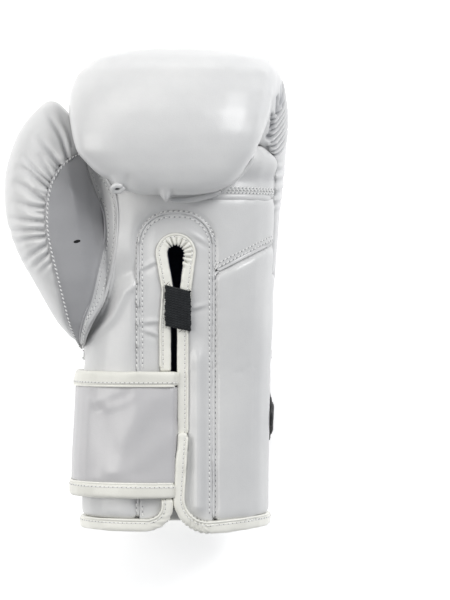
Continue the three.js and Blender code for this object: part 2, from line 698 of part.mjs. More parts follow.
const backWelt = () =>
  hand(-BINDING_BEAD)
    .subtract(rooms())
    .intersect(stretch(WELT_START, WELT_END, -FAR, SEAM_HEIGHT))
    .intersect(aboveTable);

const thumbShell = () =>
  gatheredThumb()
    .subtract(hand(-GAP))
    .subtract(hand(-BINDING_BEAD - GAP).intersect(stretch(0, WELT_END + GAP)))
    .subtract(fingerRoll(-GAP))
    .subtract(skinZone(thumbPanelOutline()))
    .subtract(skinZone(gussetOutline()))
    .subtract(prism(inset(palmOutline(), -GAP / 2)))
    .subtract(rooms());

const handLining = () =>
  rooms(GAP)
    .subtract(rooms(GAP + LINING).add(handRoom(GAP + LINING)))
    .subtract(prism(openAir(LINING_HEM)))
    .subtract(prism(backAir(LINING_HEM), -FAR, FAR));

const elasticBand = () =>
  hand(FACING_DROP - BINDING_BEAD - GAP - ELASTIC_THICKNESS)
    .subtract(hand(FACING_DROP - BINDING_BEAD - GAP))
    .intersect(
      prism([
        [ELASTIC_CENTRE - ELASTIC_WIDTH / 2, ELASTIC_TOP - ELASTIC_LENGTH],
        [ELASTIC_CENTRE + ELASTIC_WIDTH / 2, ELASTIC_TOP - ELASTIC_LENGTH - ELASTIC_SLANT],
        [ELASTIC_CENTRE + ELASTIC_WIDTH / 2, ELASTIC_TOP - ELASTIC_SLANT],
        [ELASTIC_CENTRE - ELASTIC_WIDTH / 2, ELASTIC_TOP],
      ]),
    );

// Where the strap runs: turn is the angle round the cuff from the little-finger side, and lift the
// height of its inner face above the padding.
const UNDER_FLAP = LINING - CUFF_PAD;
const OVER_FACING = BINDING_BEAD - FACING_DROP + 2 * GAP;
const OVER_LOOP = LOOP_THICKNESS + 2 * GAP + STRAP_CLEAR / 2;
const STRAP_RUN = [
  { turn: 80, lift: UNDER_FLAP },
  { turn: 86, lift: UNDER_FLAP },
  { turn: 89.4, lift: UNDER_FLAP },
  { turn: 91.6, lift: OVER_FACING },
  { turn: 97, lift: OVER_FACING + STRAP_CLEAR },
  { turn: 108, lift: STRAP_CLEAR },
  { turn: 140, lift: STRAP_CLEAR + GAP },
  { turn: 180, lift: STRAP_CLEAR + GAP },
  { turn: 212, lift: OVER_LOOP },
  { turn: 270, lift: OVER_LOOP },
  { turn: 306, lift: OVER_LOOP },
];
const STRAP_START = STRAP_RUN[0].turn;
const STRAP_STEP = 9; // degrees between the strap's sections
const OVER_PAD = 108; // turn from which the strap lies on the padding
const STRAP_END = STRAP_RUN.at(-1).turn;
const END_BINDING = 5.4; // degrees taken by the binding at the strap's end
const END_GAP = 0.6; // and by the clearance beside it
const LEAST_STEP = 0.5; // degrees between two sections at least
const PATCH_START = 222;
const POCKET_PAST = 1; // how much further the pocket round the strap reaches under the flap

const cuffPoint = (y, turn, lift) =>
  sectionPoint(handSection(y / (y > 0 ? MITT_LENGTH : CUFF_LENGTH)), radians(turn), lift);

// The turns of the sections between two turns, at the same places for every layer round the cuff.
function turnsFrom(start, end) {
  const turns = STRAP_RUN.map((row) => row.turn).filter((turn) => turn < OVER_PAD);
  for (let turn = OVER_PAD; turn < end; turn += STRAP_STEP) turns.push(turn);
  return [start, ...turns.filter((turn) => turn > start + LEAST_STEP && turn < end - LEAST_STEP), end];
}

// A band on the strap's run, between two distances below the wrist line and two lifts.
function strapBand({ top, bottom, inner, outer, start = STRAP_START, end = STRAP_END }) {
  const turns = turnsFrom(start, end);
  return slab(turns.length - 1, 1, (u, v, side) => {
    const turn = turns[Math.round(u * (turns.length - 1))];
    const lift = rowAt(STRAP_RUN, Math.max(turn, STRAP_START), "turn").lift;
    return cuffPoint(mix(-bottom, -top, v), turn, lift + (side ? outer : inner));
  });
}

const strapPocket = () =>
  strapBand({
    top: -GAP,
    bottom: STRAP_WIDTH + GAP,
    inner: -BINDING_BEAD - SKIN,
    outer: STRAP_THICKNESS + BINDING_BEAD + GAP,
    start: STRAP_START - POCKET_PAST,
  });

const wristStrap = () =>
  strapBand({
    top: STRAP_EDGE + GAP,
    bottom: STRAP_WIDTH - STRAP_EDGE - GAP,
    inner: 0,
    outer: STRAP_THICKNESS,
    end: STRAP_END - END_BINDING - END_GAP,
  });

const strapBinding = (top, bottom) =>
  strapBand({ top, bottom, inner: -BINDING_BEAD / 2, outer: STRAP_THICKNESS + BINDING_BEAD });

const strapEndBinding = () =>
  strapBand({
    top: STRAP_EDGE + GAP,
    bottom: STRAP_WIDTH - STRAP_EDGE - GAP,
    inner: -BINDING_BEAD / 2,
    outer: STRAP_THICKNESS + BINDING_BEAD,
    start: STRAP_END - END_BINDING,
  });

const strapPatch = () =>
  strapBand({
    top: STRAP_EDGE + 2 * GAP,
    bottom: STRAP_WIDTH - STRAP_EDGE - 2 * GAP,
    inner: STRAP_THICKNESS + GAP,
    outer: STRAP_THICKNESS + GAP + PATCH_THICKNESS,
    start: PATCH_START,
    end: STRAP_END - END_BINDING - 2 * END_GAP,
  });

// The loop panel on the cuff's back, narrowing to a rounded tab on the little-finger side.
function loopPanel() {
  const turns = turnsFrom(LOOP_START, LOOP_END);
  const rows = [0, 0.5, 1 - LOOP_TOP / LOOP_WIDTH, 1];
  return slab(turns.length - 1, rows.length - 1, (u, v, side) => {
    const turn = turns[Math.round(u * (turns.length - 1))];
    const past = Math.max(0, (turn - LOOP_SHOULDER) / (LOOP_END - LOOP_SHOULDER));
    const narrowed = THREE.MathUtils.smoothstep(past, 0, TAB_NARROWED);
    const round = Math.sqrt(Math.max(TAB_BLUNT ** 2, 1 - past ** 4));
    const half = (mix(LOOP_WIDTH, TAB_WIDTH, narrowed) / 2) * round;
    const middle = mix(LOOP_WIDTH / 2 - LOOP_TOP, TAB_CENTRE, narrowed);
    const y = -middle + mix(-half, half, rows[Math.round(v * (rows.length - 1))]);
    return cuffPoint(y, turn, side ? LOOP_THICKNESS + GAP : GAP);
  });
}

// Materials
const leather = (colour, roughness = 0.42) =>
  new THREE.MeshStandardMaterial({ color: colour, roughness, metalness: 0 });
const whiteLeather = leather(0xe9e9e8);
const greyLeather = leather(0xd3d4d8, 0.38);
const creamBinding = leather(0xe8e8dc, 0.45);
const blackLining = leather(0x14151d, 0.9);
const blackElastic = leather(0x24282b, 0.85);
const blackLoop = leather(0x2b2b2c, 0.95);
const silverPatch = leather(0xb9bcc4, 0.4);

const glove = new THREE.Group();

function addPiece(name, solid, material) {
  const { numProp, vertProperties, triVerts } = solid.getMesh();
  const geometry = new THREE.BufferGeometry();
  const points = [];
  for (let i = 0; i < vertProperties.length; i += numProp)
    points.push(vertProperties[i], vertProperties[i + 1], vertProperties[i + 2]);
  geometry.setAttribute("position", new THREE.Float32BufferAttribute(points, 3));
  geometry.setIndex([...triVerts]);
  geometry.computeVertexNormals();
  const mesh = new THREE.Mesh(geometry, material);
  mesh.name = name;
  glove.add(mesh);
}

addPiece("padded_mitt", paddedMitt(), whiteLeather);
addPiece("thumb_shell", thumbShell(), whiteLeather);
addPiece("thumb_panel", skinPiece(thumbPanelOutline()), greyLeather);
addPiece("thumb_gusset", skinPiece(gussetOutline()), greyLeather);
addPiece("palm_panel", palmPanel(), whiteLeather);
addPiece("grip_bar", gripBar(), greyLeather);
addPiece("wrist_bolster", wristBolster(), whiteLeather);
addPiece("slit_facing", slitFacing(), whiteLeather);
addPiece("slit_binding", slitBinding(), creamBinding);
addPiece("cuff_binding", cuffBinding(), creamBinding);
addPiece("cuff_back_pad", cuffBackPad(), whiteLeather);
addPiece("back_welt", backWelt(), whiteLeather);
addPiece("hand_lining", handLining(), blackLining);
addPiece("elastic_band", elasticBand(), blackElastic);
addPiece("wrist_strap", wristStrap(), whiteLeather);
addPiece("strap_binding_top", strapBinding(0, STRAP_EDGE), creamBinding);
addPiece("strap_binding_bottom", strapBinding(STRAP_WIDTH - STRAP_EDGE, STRAP_WIDTH), creamBinding);
addPiece("strap_binding_end", strapEndBinding(), creamBinding);
addPiece("strap_patch", strapPatch(), silverPatch);
addPiece("loop_panel", loopPanel(), blackLoop);

// The origin is the middle of the box round the glove, at its underside.
const box = new THREE.Box3().setFromObject(glove);
const middle = box.getCenter(new THREE.Vector3());
glove.position.set(-middle.x, -middle.y, -box.min.z);

export default glove;
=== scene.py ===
"""Dresses the left-hand boxing glove: padded leather, gathers, bindings, stitches, strap and lining.

Shapes are worked out in millimetres from the hand's axis and the wrist line, with +X to the little
finger, +Y to the knuckles and +Z out of the palm, and placed in the frame's metres."""
import math
import random

import bmesh
import bpy
import numpy as np
from mathutils import Matrix, Vector
from mathutils.bvhtree import BVHTree
from mathutils.kdtree import KDTree


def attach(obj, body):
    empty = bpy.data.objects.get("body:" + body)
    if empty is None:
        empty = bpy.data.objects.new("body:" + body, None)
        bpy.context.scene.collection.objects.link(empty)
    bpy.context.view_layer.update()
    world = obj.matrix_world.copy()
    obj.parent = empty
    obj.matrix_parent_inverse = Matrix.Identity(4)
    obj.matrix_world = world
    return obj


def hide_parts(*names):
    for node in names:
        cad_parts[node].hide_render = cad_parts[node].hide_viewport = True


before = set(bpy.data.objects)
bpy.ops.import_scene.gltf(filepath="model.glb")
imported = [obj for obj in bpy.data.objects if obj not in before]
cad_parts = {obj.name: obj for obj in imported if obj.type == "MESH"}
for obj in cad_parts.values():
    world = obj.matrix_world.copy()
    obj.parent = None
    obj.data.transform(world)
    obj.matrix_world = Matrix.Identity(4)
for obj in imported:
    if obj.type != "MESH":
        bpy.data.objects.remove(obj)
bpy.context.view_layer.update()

MM = 0.001
WELD = 2e-6  # metres; points nearer than this are one
ABOVE = 200.0  # plumb lines and rays start this far out
WRIST = Vector((0.018502, -0.049560, 0.0))  # the hand's axis on the wrist line, in the frame
CAMERA_AT = (30.0, 44.0, 1360.0)  # above the palm, millimetres
VIEW_HEIGHT = 372.0  # what the picture's height covers
VIEW_DISTANCE = 1300.0  # at this distance from the camera
CUFF_AXIS = (0.0, 42.0)  # x and z of the middle of the cuff
PALM_SIDE = 45.0  # the cuff's palm side is higher than this

AIR_PRESSURE = 4.0  # in the padded pieces, for the cloth simulation
AIR_FRAMES = 20
RIM_WIDTH = 2.2  # a pad's rim beside its seam
RIM_PULL = 1.6  # how far the rim comes up to the seam

# Seams seen from above, from the wrist towards the fist
THUMB_SEAM = [
    (-60.5, 13.4), (-61.4, 15.6), (-65.5, 27.7), (-68.8, 42), (-72.8, 60.3), (-76.5, 76.4), (-78.2, 88.7),
    (-78, 101), (-76, 113), (-72.2, 121.3), (-65.8, 129.4), (-58.9, 134.4),
]
PANEL_SEAM = [
    (-60.2, 16.8), (-57.2, 31.4), (-52.2, 43.7), (-48.0, 62.2), (-44.2, 81.3), (-44.3, 96.3), (-48.9, 107.5),
    (-54.6, 124.3), (-58.6, 142.8),
]
PALM_SEAM = [
    (-59.1, 13.4), (-53.2, 28.6), (-44.9, 43.7), (-39.6, 62.2), (-36.4, 77.8), (-35.3, 93.2), (-36.4, 105.8),
    (-41.2, 115.9), (-47.1, 124.3), (-54, 142.8),
]
ARCH_HALF = 22.0
ARCH_TOP = 96.0
ARCH_CORNER = 19.0
DIAGONAL_SEAM = [(24.2, 62.1), (60.4, 80.8)]
GRIP_SEAM_Y = 107.0
GRIP_SEAM = [(-40.0, GRIP_SEAM_Y), (62.0, GRIP_SEAM_Y)]
ON_TABLE = 0.1  # nothing comes lower
EYE = (0.0, 72.5)
EYE_RADIUS = 5.6
NECK_Y = 50.0
NECK_SHIFT = 1.7
SLIT_SIDES = (-3.5, 1.0)
SLIT_TOP_Y = 28.0
TAPE = 0.88  # share of a binding's width that the slit's tape has
LAP_Y = -38.5  # where the slit's tape meets the hem's
HEM_Y = -99.0
HEM_SIDES = (-97.5, -96.0)  # the hem at the thumb's and the little finger's side
STRAP_EDGE_Y = (-68.1, -8.9)  # the strap's leather between its bindings
STRAP_SEAMS_Y = (-6.6, -70.4)
WELT_SEAMS_Y = (7.7, 12.3)
GRIP_SEAM_SHOWN = (19, 60)  # first and last x of its stitches
HEM_TAPE_Y = -90.0  # the seams end here under the hem's tape
TAPE_SEAM = 5.0  # stitches of a tape, from the tape's edge
TAPE_EDGE = 6.6  # its other edge
FOLD_ASIDE = 0.6  # fold along the thumb's seam, to its right
STEEP = 0.05  # a normal lower than this belongs to a wall
JUMP = 4 * MM  # a gap that breaks a row of stitches
THUMB_FLAP = (-19.0, -82.0, 15.5)  # centre and radius of the flaps' corners
FINGER_FLAP = (20.6, -77.0, 22.0)

# Creases of the thumb, each from the seam outwards: places, depth and width
THUMB_CREASES = [
    ([(-63.2, 137.2), (-65.8, 146.8), (-69.3, 155.6), (-72.8, 162.0)], 1.2, 1.0),
    ([(-65.4, 129.0), (-67.9, 137.5), (-71.7, 146.8), (-79.2, 159.1)], 2.1, 1.1),
    ([(-68.2, 123.0), (-73.4, 130.5), (-78.1, 136.3), (-83.3, 143.3)], 2.0, 1.5),
    ([(-70.8, 121.0), (-74.6, 125.8), (-79.8, 131.6)], 1.3, 0.7),
    ([(-73.2, 116.4), (-78.7, 125.8), (-82.2, 131.6)], 1.6, 1.0),
    ([(-74.6, 114.2), (-81.0, 119.4), (-88.0, 126.4), (-92.7, 131.1)], 2.2, 0.8),
    ([(-75.6, 111.1), (-82.2, 116.5), (-89.7, 122.3), (-96.0, 124.6)], 2.4, 1.0),
    ([(-76.9, 107.4), (-81.6, 108.9), (-84.5, 110.6)], 1.5, 0.7),
    ([(-77.3, 103.9), (-83.9, 107.1), (-90.9, 111.8), (-97.5, 115.2)], 2.6, 1.3),
    ([(-77.9, 100.5), (-85.1, 100.1), (-92.7, 101.9), (-99.1, 104.2)], 2.2, 1.2),
    ([(-78.2, 96.5), (-84.5, 97.2), (-89.2, 100.1)], 1.6, 0.8),
    ([(-78.5, 91.4), (-86.8, 92.0), (-94.4, 93.1), (-101.5, 94.3)], 2.6, 1.1),
    ([(-78.4, 86.1), (-86.8, 86.1), (-95.6, 86.1), (-102.5, 87.3)], 2.6, 1.1),
    ([(-78.3, 82.6), (-86.8, 81.6), (-92.7, 80.4), (-98.5, 79.2)], 2.4, 1.1),
    ([(-78.0, 77.6), (-86.0, 72.9), (-92.4, 67.9)], 2.0, 1.1),
    ([(-77.0, 73.0), (-82.0, 68.3), (-87.0, 64.2)], 1.6, 1.0),
    ([(-75.2, 67.6), (-79.2, 63.9), (-83.1, 61.2)], 0.9, 1.1),
]


# Points and lines

def in_frame(x, y, z):
    return WRIST + Vector((x, y, z)) * MM


def read_points(piece):
    flat = np.empty(3 * len(piece.data.vertices))
    piece.data.vertices.foreach_get("co", flat)
    return (flat.reshape(-1, 3) - np.array(WRIST)) / MM


def read_normals(piece):
    flat = np.empty(3 * len(piece.data.vertices), np.float32)
    piece.data.vertex_normals.foreach_get("vector", flat)
    return flat.reshape(-1, 3).astype(float)


def write_points(piece, points):
    piece.data.vertices.foreach_set("co", (points * MM + np.array(WRIST)).ravel())
    piece.data.update()


def soft_noise(points, size, seed):
    """Rolling noise from -1 to 1, with hills about size millimetres wide."""
    table = np.random.default_rng(seed).uniform(-1, 1, (16, 16, 16))
    scaled = points / size
    cell = np.floor(scaled).astype(int)
    part = scaled - cell
    part = part * part * (3 - 2 * part)
    total = np.zeros(len(points))
    for corner in np.ndindex(2, 2, 2):
        weight = np.prod(np.where(corner, part, 1 - part), axis=1)
        i, j, k = ((cell + corner) % 16).T
        total += weight * table[i, j, k]
    return total


def smooth_step(value, low, high):
    t = np.clip((value - low) / (high - low), 0, 1)
    return t * t * (3 - 2 * t)


def hill(distance, width):
    return np.exp(-((distance / width) ** 2))


def curve_through(points, step=1.0):
    """A smooth curve through the points, cut into pieces of about step millimetres."""
    points = np.asarray(points, float)
    padded = np.vstack([2 * points[0] - points[1], points, 2 * points[-1] - points[-2]])
    fine = []
    for i in range(len(points) - 1):
        p0, p1, p2, p3 = padded[i:i + 4]
        for t in np.linspace(0, 1, 24, endpoint=False):
            fine.append(0.5 * (2 * p1 + (p2 - p0) * t + (2 * p0 - 5 * p1 + 4 * p2 - p3) * t * t
                               + (3 * p1 - p0 - 3 * p2 + p3) * t ** 3))
    fine.append(points[-1])
    return even(np.array(fine), step)


def run_along(line):
    """How far along the line each of its points lies."""
    return np.concatenate([[0], np.cumsum(np.linalg.norm(np.diff(line, axis=0), axis=1))])


def even(line, step):
    """The same line with its points at even distances."""
    line = np.asarray(line, float)
    run = run_along(line)
    places = np.linspace(0, run[-1], max(2, int(round(run[-1] / step)) + 1))
    return np.column_stack([np.interp(places, run, line[:, k]) for k in range(line.shape[1])])


def moved_aside(line, distance):
    """The line moved to its left by distance."""
    line = np.asarray(line, float)
    way = np.gradient(line, axis=0)
    way /= np.linalg.norm(way, axis=1)[:, None]
    return line + distance * np.column_stack([-way[:, 1], way[:, 0]])


def nearest(line, points):
    """How far along the line each point lies, the step from it to the line, and its side."""
    line = np.asarray(line, float)
    run_so_far = 0.0
    best = np.full(len(points), np.inf)
    along, side = np.zeros(len(points)), np.zeros(len(points))
    step = np.zeros((len(points), 2))
    for start, end in zip(line[:-1], line[1:]):
        run = end - start
        length = np.linalg.norm(run)
        rel = points - start
        t = np.clip(rel @ run / length ** 2, 0, 1)
        gap = rel - t[:, None] * run
        distance = np.linalg.norm(gap, axis=1)
        near = distance < best
        best[near] = distance[near]
        along[near] = run_so_far + t[near] * length
        step[near] = -gap[near]
        side[near] = np.sign(run[0] * gap[:, 1] - run[1] * gap[:, 0])[near]
        run_so_far += length
    return along, step, side


def beside(line, points):
    """How far along the line each point lies, and how far to its left."""
    along, step, side = nearest(line, points)
    return along, side * np.linalg.norm(step, axis=1)


def arch_line(grow=0.0, down_to=HEM_Y):
    half, top, corner = ARCH_HALF + grow, ARCH_TOP + grow, ARCH_CORNER + grow
    turns = np.radians(np.linspace(180, 90, 12))
    left = [(-half + corner + corner * math.cos(a), top - corner + corner * math.sin(a)) for a in turns]
    right = [(-x, y) for x, y in reversed(left)]
    return even([(-half, down_to), *left, *right, (half, down_to)], 1.0)


def round_corner(corner, grow, first, last):
    x, y, radius = corner
    lean = 0.12 * grow * (1 if x < 0 else -1)
    turns = np.radians(np.linspace(first, last, 16))
    return [(x + lean + (radius - grow) * math.cos(a), y + (radius - grow) * math.sin(a)) for a in turns]


def slit_edge(grow, low_left=2.0, low_right=LAP_Y + 0.6):
    """The slit's edge, moved outwards over its tape: up the thumb's side, round the head and down."""
    left, right = SLIT_SIDES[0] - TAPE * grow, SLIT_SIDES[1] + TAPE * grow
    turns = np.radians(np.linspace(190, -10, 40))
    radius = EYE_RADIUS + TAPE * grow
    head = [(EYE[0] + radius * math.cos(a), EYE[1] + radius * math.sin(a)) for a in turns]
    up = [(left, low_left), (left, SLIT_TOP_Y), (left + NECK_SHIFT, NECK_Y)]
    down = [(right + NECK_SHIFT, NECK_Y), (right, SLIT_TOP_Y), (right, low_right)]
    return even([*up, *head, *down], 0.8)


def finger_flap_edge(grow):
    right = SLIT_SIDES[1] + TAPE * grow
    corner = round_corner(FINGER_FLAP, grow, 180, 276)
    return even([(right, LAP_Y - 0.6), *corner, (58.0, HEM_SIDES[1] + grow)], 0.8)


def thumb_flap_edge(grow):
    left = SLIT_SIDES[0] - TAPE * grow
    corner = round_corner(THUMB_FLAP, grow, 0, -90)
    return even([(left, -76.0), *corner, (-58.0, HEM_SIDES[0] + grow)], 0.8)


def hem_y(turn, grow=0.0):
    share = (math.cos(math.radians(turn)) + 1) / 2
    return HEM_SIDES[0] + (HEM_SIDES[1] - HEM_SIDES[0]) * share + grow


# Making pieces

def new_piece(name, mesh):
    piece = bpy.data.objects.new(name, mesh)
    bpy.context.scene.collection.objects.link(piece)
    return piece


def mesh_from(name, work):
    """The workbench's shape as a mesh, with the workbench put away."""
    mesh = bpy.data.meshes.new(name)
    work.to_mesh(mesh)
    work.free()
    return mesh


def shade_smooth(piece):
    piece.data.polygons.foreach_set("use_smooth", [True] * len(piece.data.polygons))


def settle(piece):
    """Turns the piece's modifiers into its mesh."""
    evaluated = piece.evaluated_get(bpy.context.evaluated_depsgraph_get())
    mesh = bpy.data.meshes.new_from_object(evaluated)
    piece.modifiers.clear()
    piece.data = mesh
    mesh.name = piece.name


def ease(piece, rounds, weight=1.0):
    """Evens out the skin, where weight is above 0, by moving each point to the middle of those round it."""
    points = read_points(piece)
    edges = np.empty(2 * len(piece.data.edges), int)
    piece.data.edges.foreach_get("vertices", edges)
    a, b = edges.reshape(-1, 2).T
    count = np.bincount(np.concatenate([a, b]), minlength=len(points))
    strength = (0.5 * np.broadcast_to(weight, len(points)))[:, None]
    for _ in range(rounds):
        total = np.column_stack([
            np.bincount(a, points[b, k], len(points)) + np.bincount(b, points[a, k], len(points))
            for k in range(3)
        ])
        points += strength * (total / count[:, None] - points)
    write_points(piece, points)


def solid_shape(node):
    work = bmesh.new()
    work.from_mesh(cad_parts[node].data)
    bmesh.ops.remove_doubles(work, verts=work.verts, dist=WELD)
    return work


def remesh(piece, voxel):
    """Gives the piece an even mesh of this many millimetres."""
    change = piece.modifiers.new("even mesh", "REMESH")
    change.mode = "VOXEL"
    change.voxel_size = voxel * MM
    settle(piece)


def skin(name, node, voxel, rounds, swell=0.25, thicken=0.0):
    """A fine skin over a solid, with its facets smoothed away and its edges rounded."""
    piece = new_piece(name, mesh_from(name, solid_shape(node)))
    raise_skin(piece, thicken)
    remesh(piece, voxel)
    ease(piece, rounds)
    raise_skin(piece, swell)
    shade_smooth(piece)
    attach(piece, "root")
    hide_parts(node)
    return piece


def plump(piece, node, cap, voxel=5.0):
    """Swells a pad by cloth simulation: air presses from inside, and its rims stay sewn to its neighbours."""
    bag = new_piece(piece.name + "_bag", piece.data.copy())
    remesh(bag, voxel)
    before = read_points(bag)
    neighbours = tree_of([thing for name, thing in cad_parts.items() if name != node])
    sewn = [vert.index for vert in bag.data.vertices
            if neighbours.find_nearest(vert.co, 0.8 * voxel * MM)[0] is not None]
    bag.vertex_groups.new(name="sewn").add(sewn, 1.0, "REPLACE")
    cloth = bag.modifiers.new("air", "CLOTH")
    cloth.settings.vertex_group_mass = "sewn"
    cloth.settings.use_pressure = True
    cloth.settings.uniform_pressure_force = AIR_PRESSURE
    cloth.settings.effector_weights.gravity = 0.0
    cloth.point_cache.frame_end = AIR_FRAMES
    for step in range(1, AIR_FRAMES + 1):
        bpy.context.scene.frame_set(step)
    settle(bag)
    move = read_points(bag) - before
    bpy.context.scene.frame_set(1)
    bpy.data.objects.remove(bag)
    length = np.linalg.norm(move, axis=1)
    move *= (cap * np.tanh(length / cap) / np.maximum(length, 0.01))[:, None]
    places = KDTree(len(before))
    for index, place in enumerate(before):
        places.insert(place, index)
    places.balance()
    points = read_points(piece)
    for index, point in enumerate(points.copy()):
        near = places.find_n(point, 5)
        shares = np.array([1 / (distance + 0.5) ** 2 for _, _, distance in near])
        points[index] += shares @ move[[number for _, number, _ in near]] / shares.sum()
    write_points(piece, points)


def refine(piece, chosen):
    """Halves the mesh's size where chosen is true, for finer folds."""
    work = bmesh.new()
    work.from_mesh(piece.data)
    work.verts.ensure_lookup_table()
    edges = [e for e in work.edges if chosen[e.verts[0].index] and chosen[e.verts[1].index]]
    bmesh.ops.subdivide_edges(work, edges=edges, cuts=1, use_grid_fill=True)
    bmesh.ops.triangulate(work, faces=[f for f in work.faces if len(f.verts) > 4])
    work.to_mesh(piece.data)
    work.free()
    shade_smooth(piece)


def raise_skin(piece, height):
    """Moves the skin outwards by height, one number or one for each point."""
    lift = np.broadcast_to(height, len(piece.data.vertices))[:, None]
    write_points(piece, read_points(piece) + read_normals(piece) * lift)


def close_seams(piece, *lines, above=40.0):
    """Draws a piece's rounded rim up to the seams that it meets its neighbours in."""
    points = read_points(piece)
    for line in lines:
        _, step, _ = nearest(line, points[:, :2])
        distance = np.linalg.norm(step, axis=1)
        near = hill(distance, RIM_WIDTH) * (points[:, 2] > above)
        share = np.minimum(RIM_PULL * near / np.maximum(distance, 0.01), 0.97)
        points[:, :2] += step * share[:, None]
        points[:, 2] += 0.3 * near * facing_up(piece)
    write_points(piece, points)


def mark(piece, name, values):
    """Keeps a number from 0 to 1 for each point, which the material reads."""
    layer = piece.data.attributes.get(name) or piece.data.attributes.new(name, "FLOAT", "POINT")
    layer.data.foreach_set("value", np.clip(values, 0, 1).astype(np.float32))


def facing_up(piece):
    return smooth_step(read_normals(piece)[:, 2], -0.1, 0.35)


# Materials

class Bench:
    """Places nodes in a tree and joins them; surface is the tree's shader, where it has one."""

    def __init__(self, tree, surface=None):
        self.tree = tree
        self.surface = surface

    def node(self, kind, **settings):
        made = self.tree.nodes.new("ShaderNode" + kind)
        for key, value in settings.items():
            setattr(made, key, value)
        return made

    def join(self, source, target):
        self.tree.links.new(source, target)
        return target

    def maths(self, operation, a, b=None, clamp=False):
        made = self.node("Math", operation=operation, use_clamp=clamp)
        for socket, value in zip(made.inputs, (a, b)):
            if value is None:
                continue
            if isinstance(value, (int, float)):
                socket.default_value = value
            else:
                self.join(value, socket)
        return made.outputs[0]

    def noise(self, vector, scale, detail=3.0, roughness=0.5):
        made = self.node("TexNoise")
        made.inputs["Scale"].default_value = scale
        made.inputs["Detail"].default_value = detail
        made.inputs["Roughness"].default_value = roughness
        self.join(vector, made.inputs["Vector"])
        return made.outputs["Fac"]

    def ranged(self, value, low, high, to_low, to_high):
        made = self.node("MapRange")
        for label, number in (("From Min", low), ("From Max", high), ("To Min", to_low), ("To Max", to_high)):
            made.inputs[label].default_value = number
        self.join(value, made.inputs["Value"])
        return made.outputs["Result"]

    def blend(self, factor, a, b):
        made = self.node("Mix", data_type="RGBA")
        sockets = [s for s in made.inputs if s.type == "RGBA"]
        for socket, value in zip(sockets, (a, b)):
            if isinstance(value, tuple):
                socket.default_value = (*value, 1.0)
            else:
                self.join(value, socket)
        factor_socket = next(s for s in made.inputs if s.type == "VALUE")
        self.join(factor, factor_socket)
        return next(s for s in made.outputs if s.type == "RGBA")

    def place(self):
        return self.node("TexCoord").outputs["Object"]

    def kept(self, name):
        """The number that the piece keeps for each point under this name."""
        return self.node("Attribute", attribute_name=name).outputs["Fac"]

    def paint(self, factor, a, b):
        self.join(self.blend(factor, a, b), self.surface.inputs["Base Color"])

    def roughen(self, value):
        self.join(value, self.surface.inputs["Roughness"])

    def emboss(self, height, distance):
        made = self.node("Bump")
        made.inputs["Strength"].default_value = 1.0
        made.inputs["Distance"].default_value = distance
        self.join(height, made.inputs["Height"])
        self.join(made.outputs["Normal"], self.surface.inputs["Normal"])


def make_leather_grain():
    """Fine pebble grain and soft creasing of coated leather."""
    group = bpy.data.node_groups.new("leather_grain", "ShaderNodeTree")
    group.interface.new_socket(name="Vector", in_out="INPUT", socket_type="NodeSocketVector")
    size = group.interface.new_socket(name="Grain Size", in_out="INPUT", socket_type="NodeSocketFloat")
    size.default_value = 1500.0
    for label in ("Height", "Cloud", "Pores"):
        group.interface.new_socket(name=label, in_out="OUTPUT", socket_type="NodeSocketFloat")
    given, out = group.nodes.new("NodeGroupInput"), group.nodes.new("NodeGroupOutput")
    bench = Bench(group)
    cells = bench.node("TexVoronoi", feature="SMOOTH_F1")
    cells.inputs["Smoothness"].default_value = 0.6
    bench.join(given.outputs["Vector"], cells.inputs["Vector"])
    bench.join(given.outputs["Grain Size"], cells.inputs["Scale"])
    fine = bench.noise(given.outputs["Vector"], 900.0, 4.0, 0.6)
    creases = bench.noise(given.outputs["Vector"], 160.0, 3.0, 0.55)
    pebble = bench.maths("MULTIPLY", cells.outputs["Distance"], -0.6)
    height = bench.maths("ADD", pebble, bench.maths("MULTIPLY", fine, 0.35))
    height = bench.maths("ADD", height, bench.maths("MULTIPLY", creases, 0.9))
    bench.join(height, out.inputs["Height"])
    bench.join(bench.noise(given.outputs["Vector"], 22.0, 4.0, 0.6), out.inputs["Cloud"])
    bench.join(bench.ranged(cells.outputs["Distance"], 0.5, 0.95, 0.0, 1.0), out.inputs["Pores"])
    return group


LEATHER_GRAIN = make_leather_grain()
COAT_ROUGHNESS = 0.28


def shader(name, colour, roughness, coat=0.0, sheen=0.0, specular=0.5):
    """A material of one colour, and the bench to work on its nodes."""
    material = bpy.data.materials.new(name)
    material.use_nodes = True
    material.diffuse_color = (*colour, 1.0)
    surface = next(n for n in material.node_tree.nodes if n.type == "BSDF_PRINCIPLED")
    for label, value in (
        ("Base Color", (*colour, 1.0)),
        ("Roughness", roughness),
        ("Coat Weight", coat),
        ("Coat Roughness", COAT_ROUGHNESS if coat else 0.3),
        ("Sheen Weight", sheen),
        ("Specular IOR Level", specular),
    ):
        surface.inputs[label].default_value = value
    return material, Bench(material.node_tree, surface)


def leather(name, colour, shade, roughness=(0.28, 0.38), grain=0.00006, coat=0.26):
    """Coated leather: shade is the painted shade's colour, which each piece's painted_shade attribute blends
    in at its tucks and along its seams; a random mottle and the pores blend it in a little too.
    """
    material, bench = shader(name, colour, sum(roughness) / 2, coat)
    texture = bench.node("Group", node_tree=LEATHER_GRAIN)
    bench.join(bench.place(), texture.inputs["Vector"])
    # Painted shade: the piece's own numbers darken it towards the shade colour, on top of the mottle and the
    # pores.
    painted_shade = bench.kept("painted_shade")
    cloud = bench.ranged(texture.outputs["Cloud"], 0.3, 0.75, 0.0, 0.35)
    shade_and_mottle = bench.maths("ADD", bench.maths("MULTIPLY", painted_shade, 0.8), cloud, clamp=True)
    shade_and_mottle = bench.maths("ADD", shade_and_mottle, bench.maths("MULTIPLY", texture.outputs["Pores"], 0.06), clamp=True)
    bench.paint(shade_and_mottle, colour, shade)
    rough = bench.ranged(texture.outputs["Cloud"], 0.25, 0.75, *roughness)
    bench.roughen(bench.maths("ADD", rough, bench.maths("MULTIPLY", painted_shade, 0.12), clamp=True))
    bench.emboss(texture.outputs["Height"], grain)
    return material


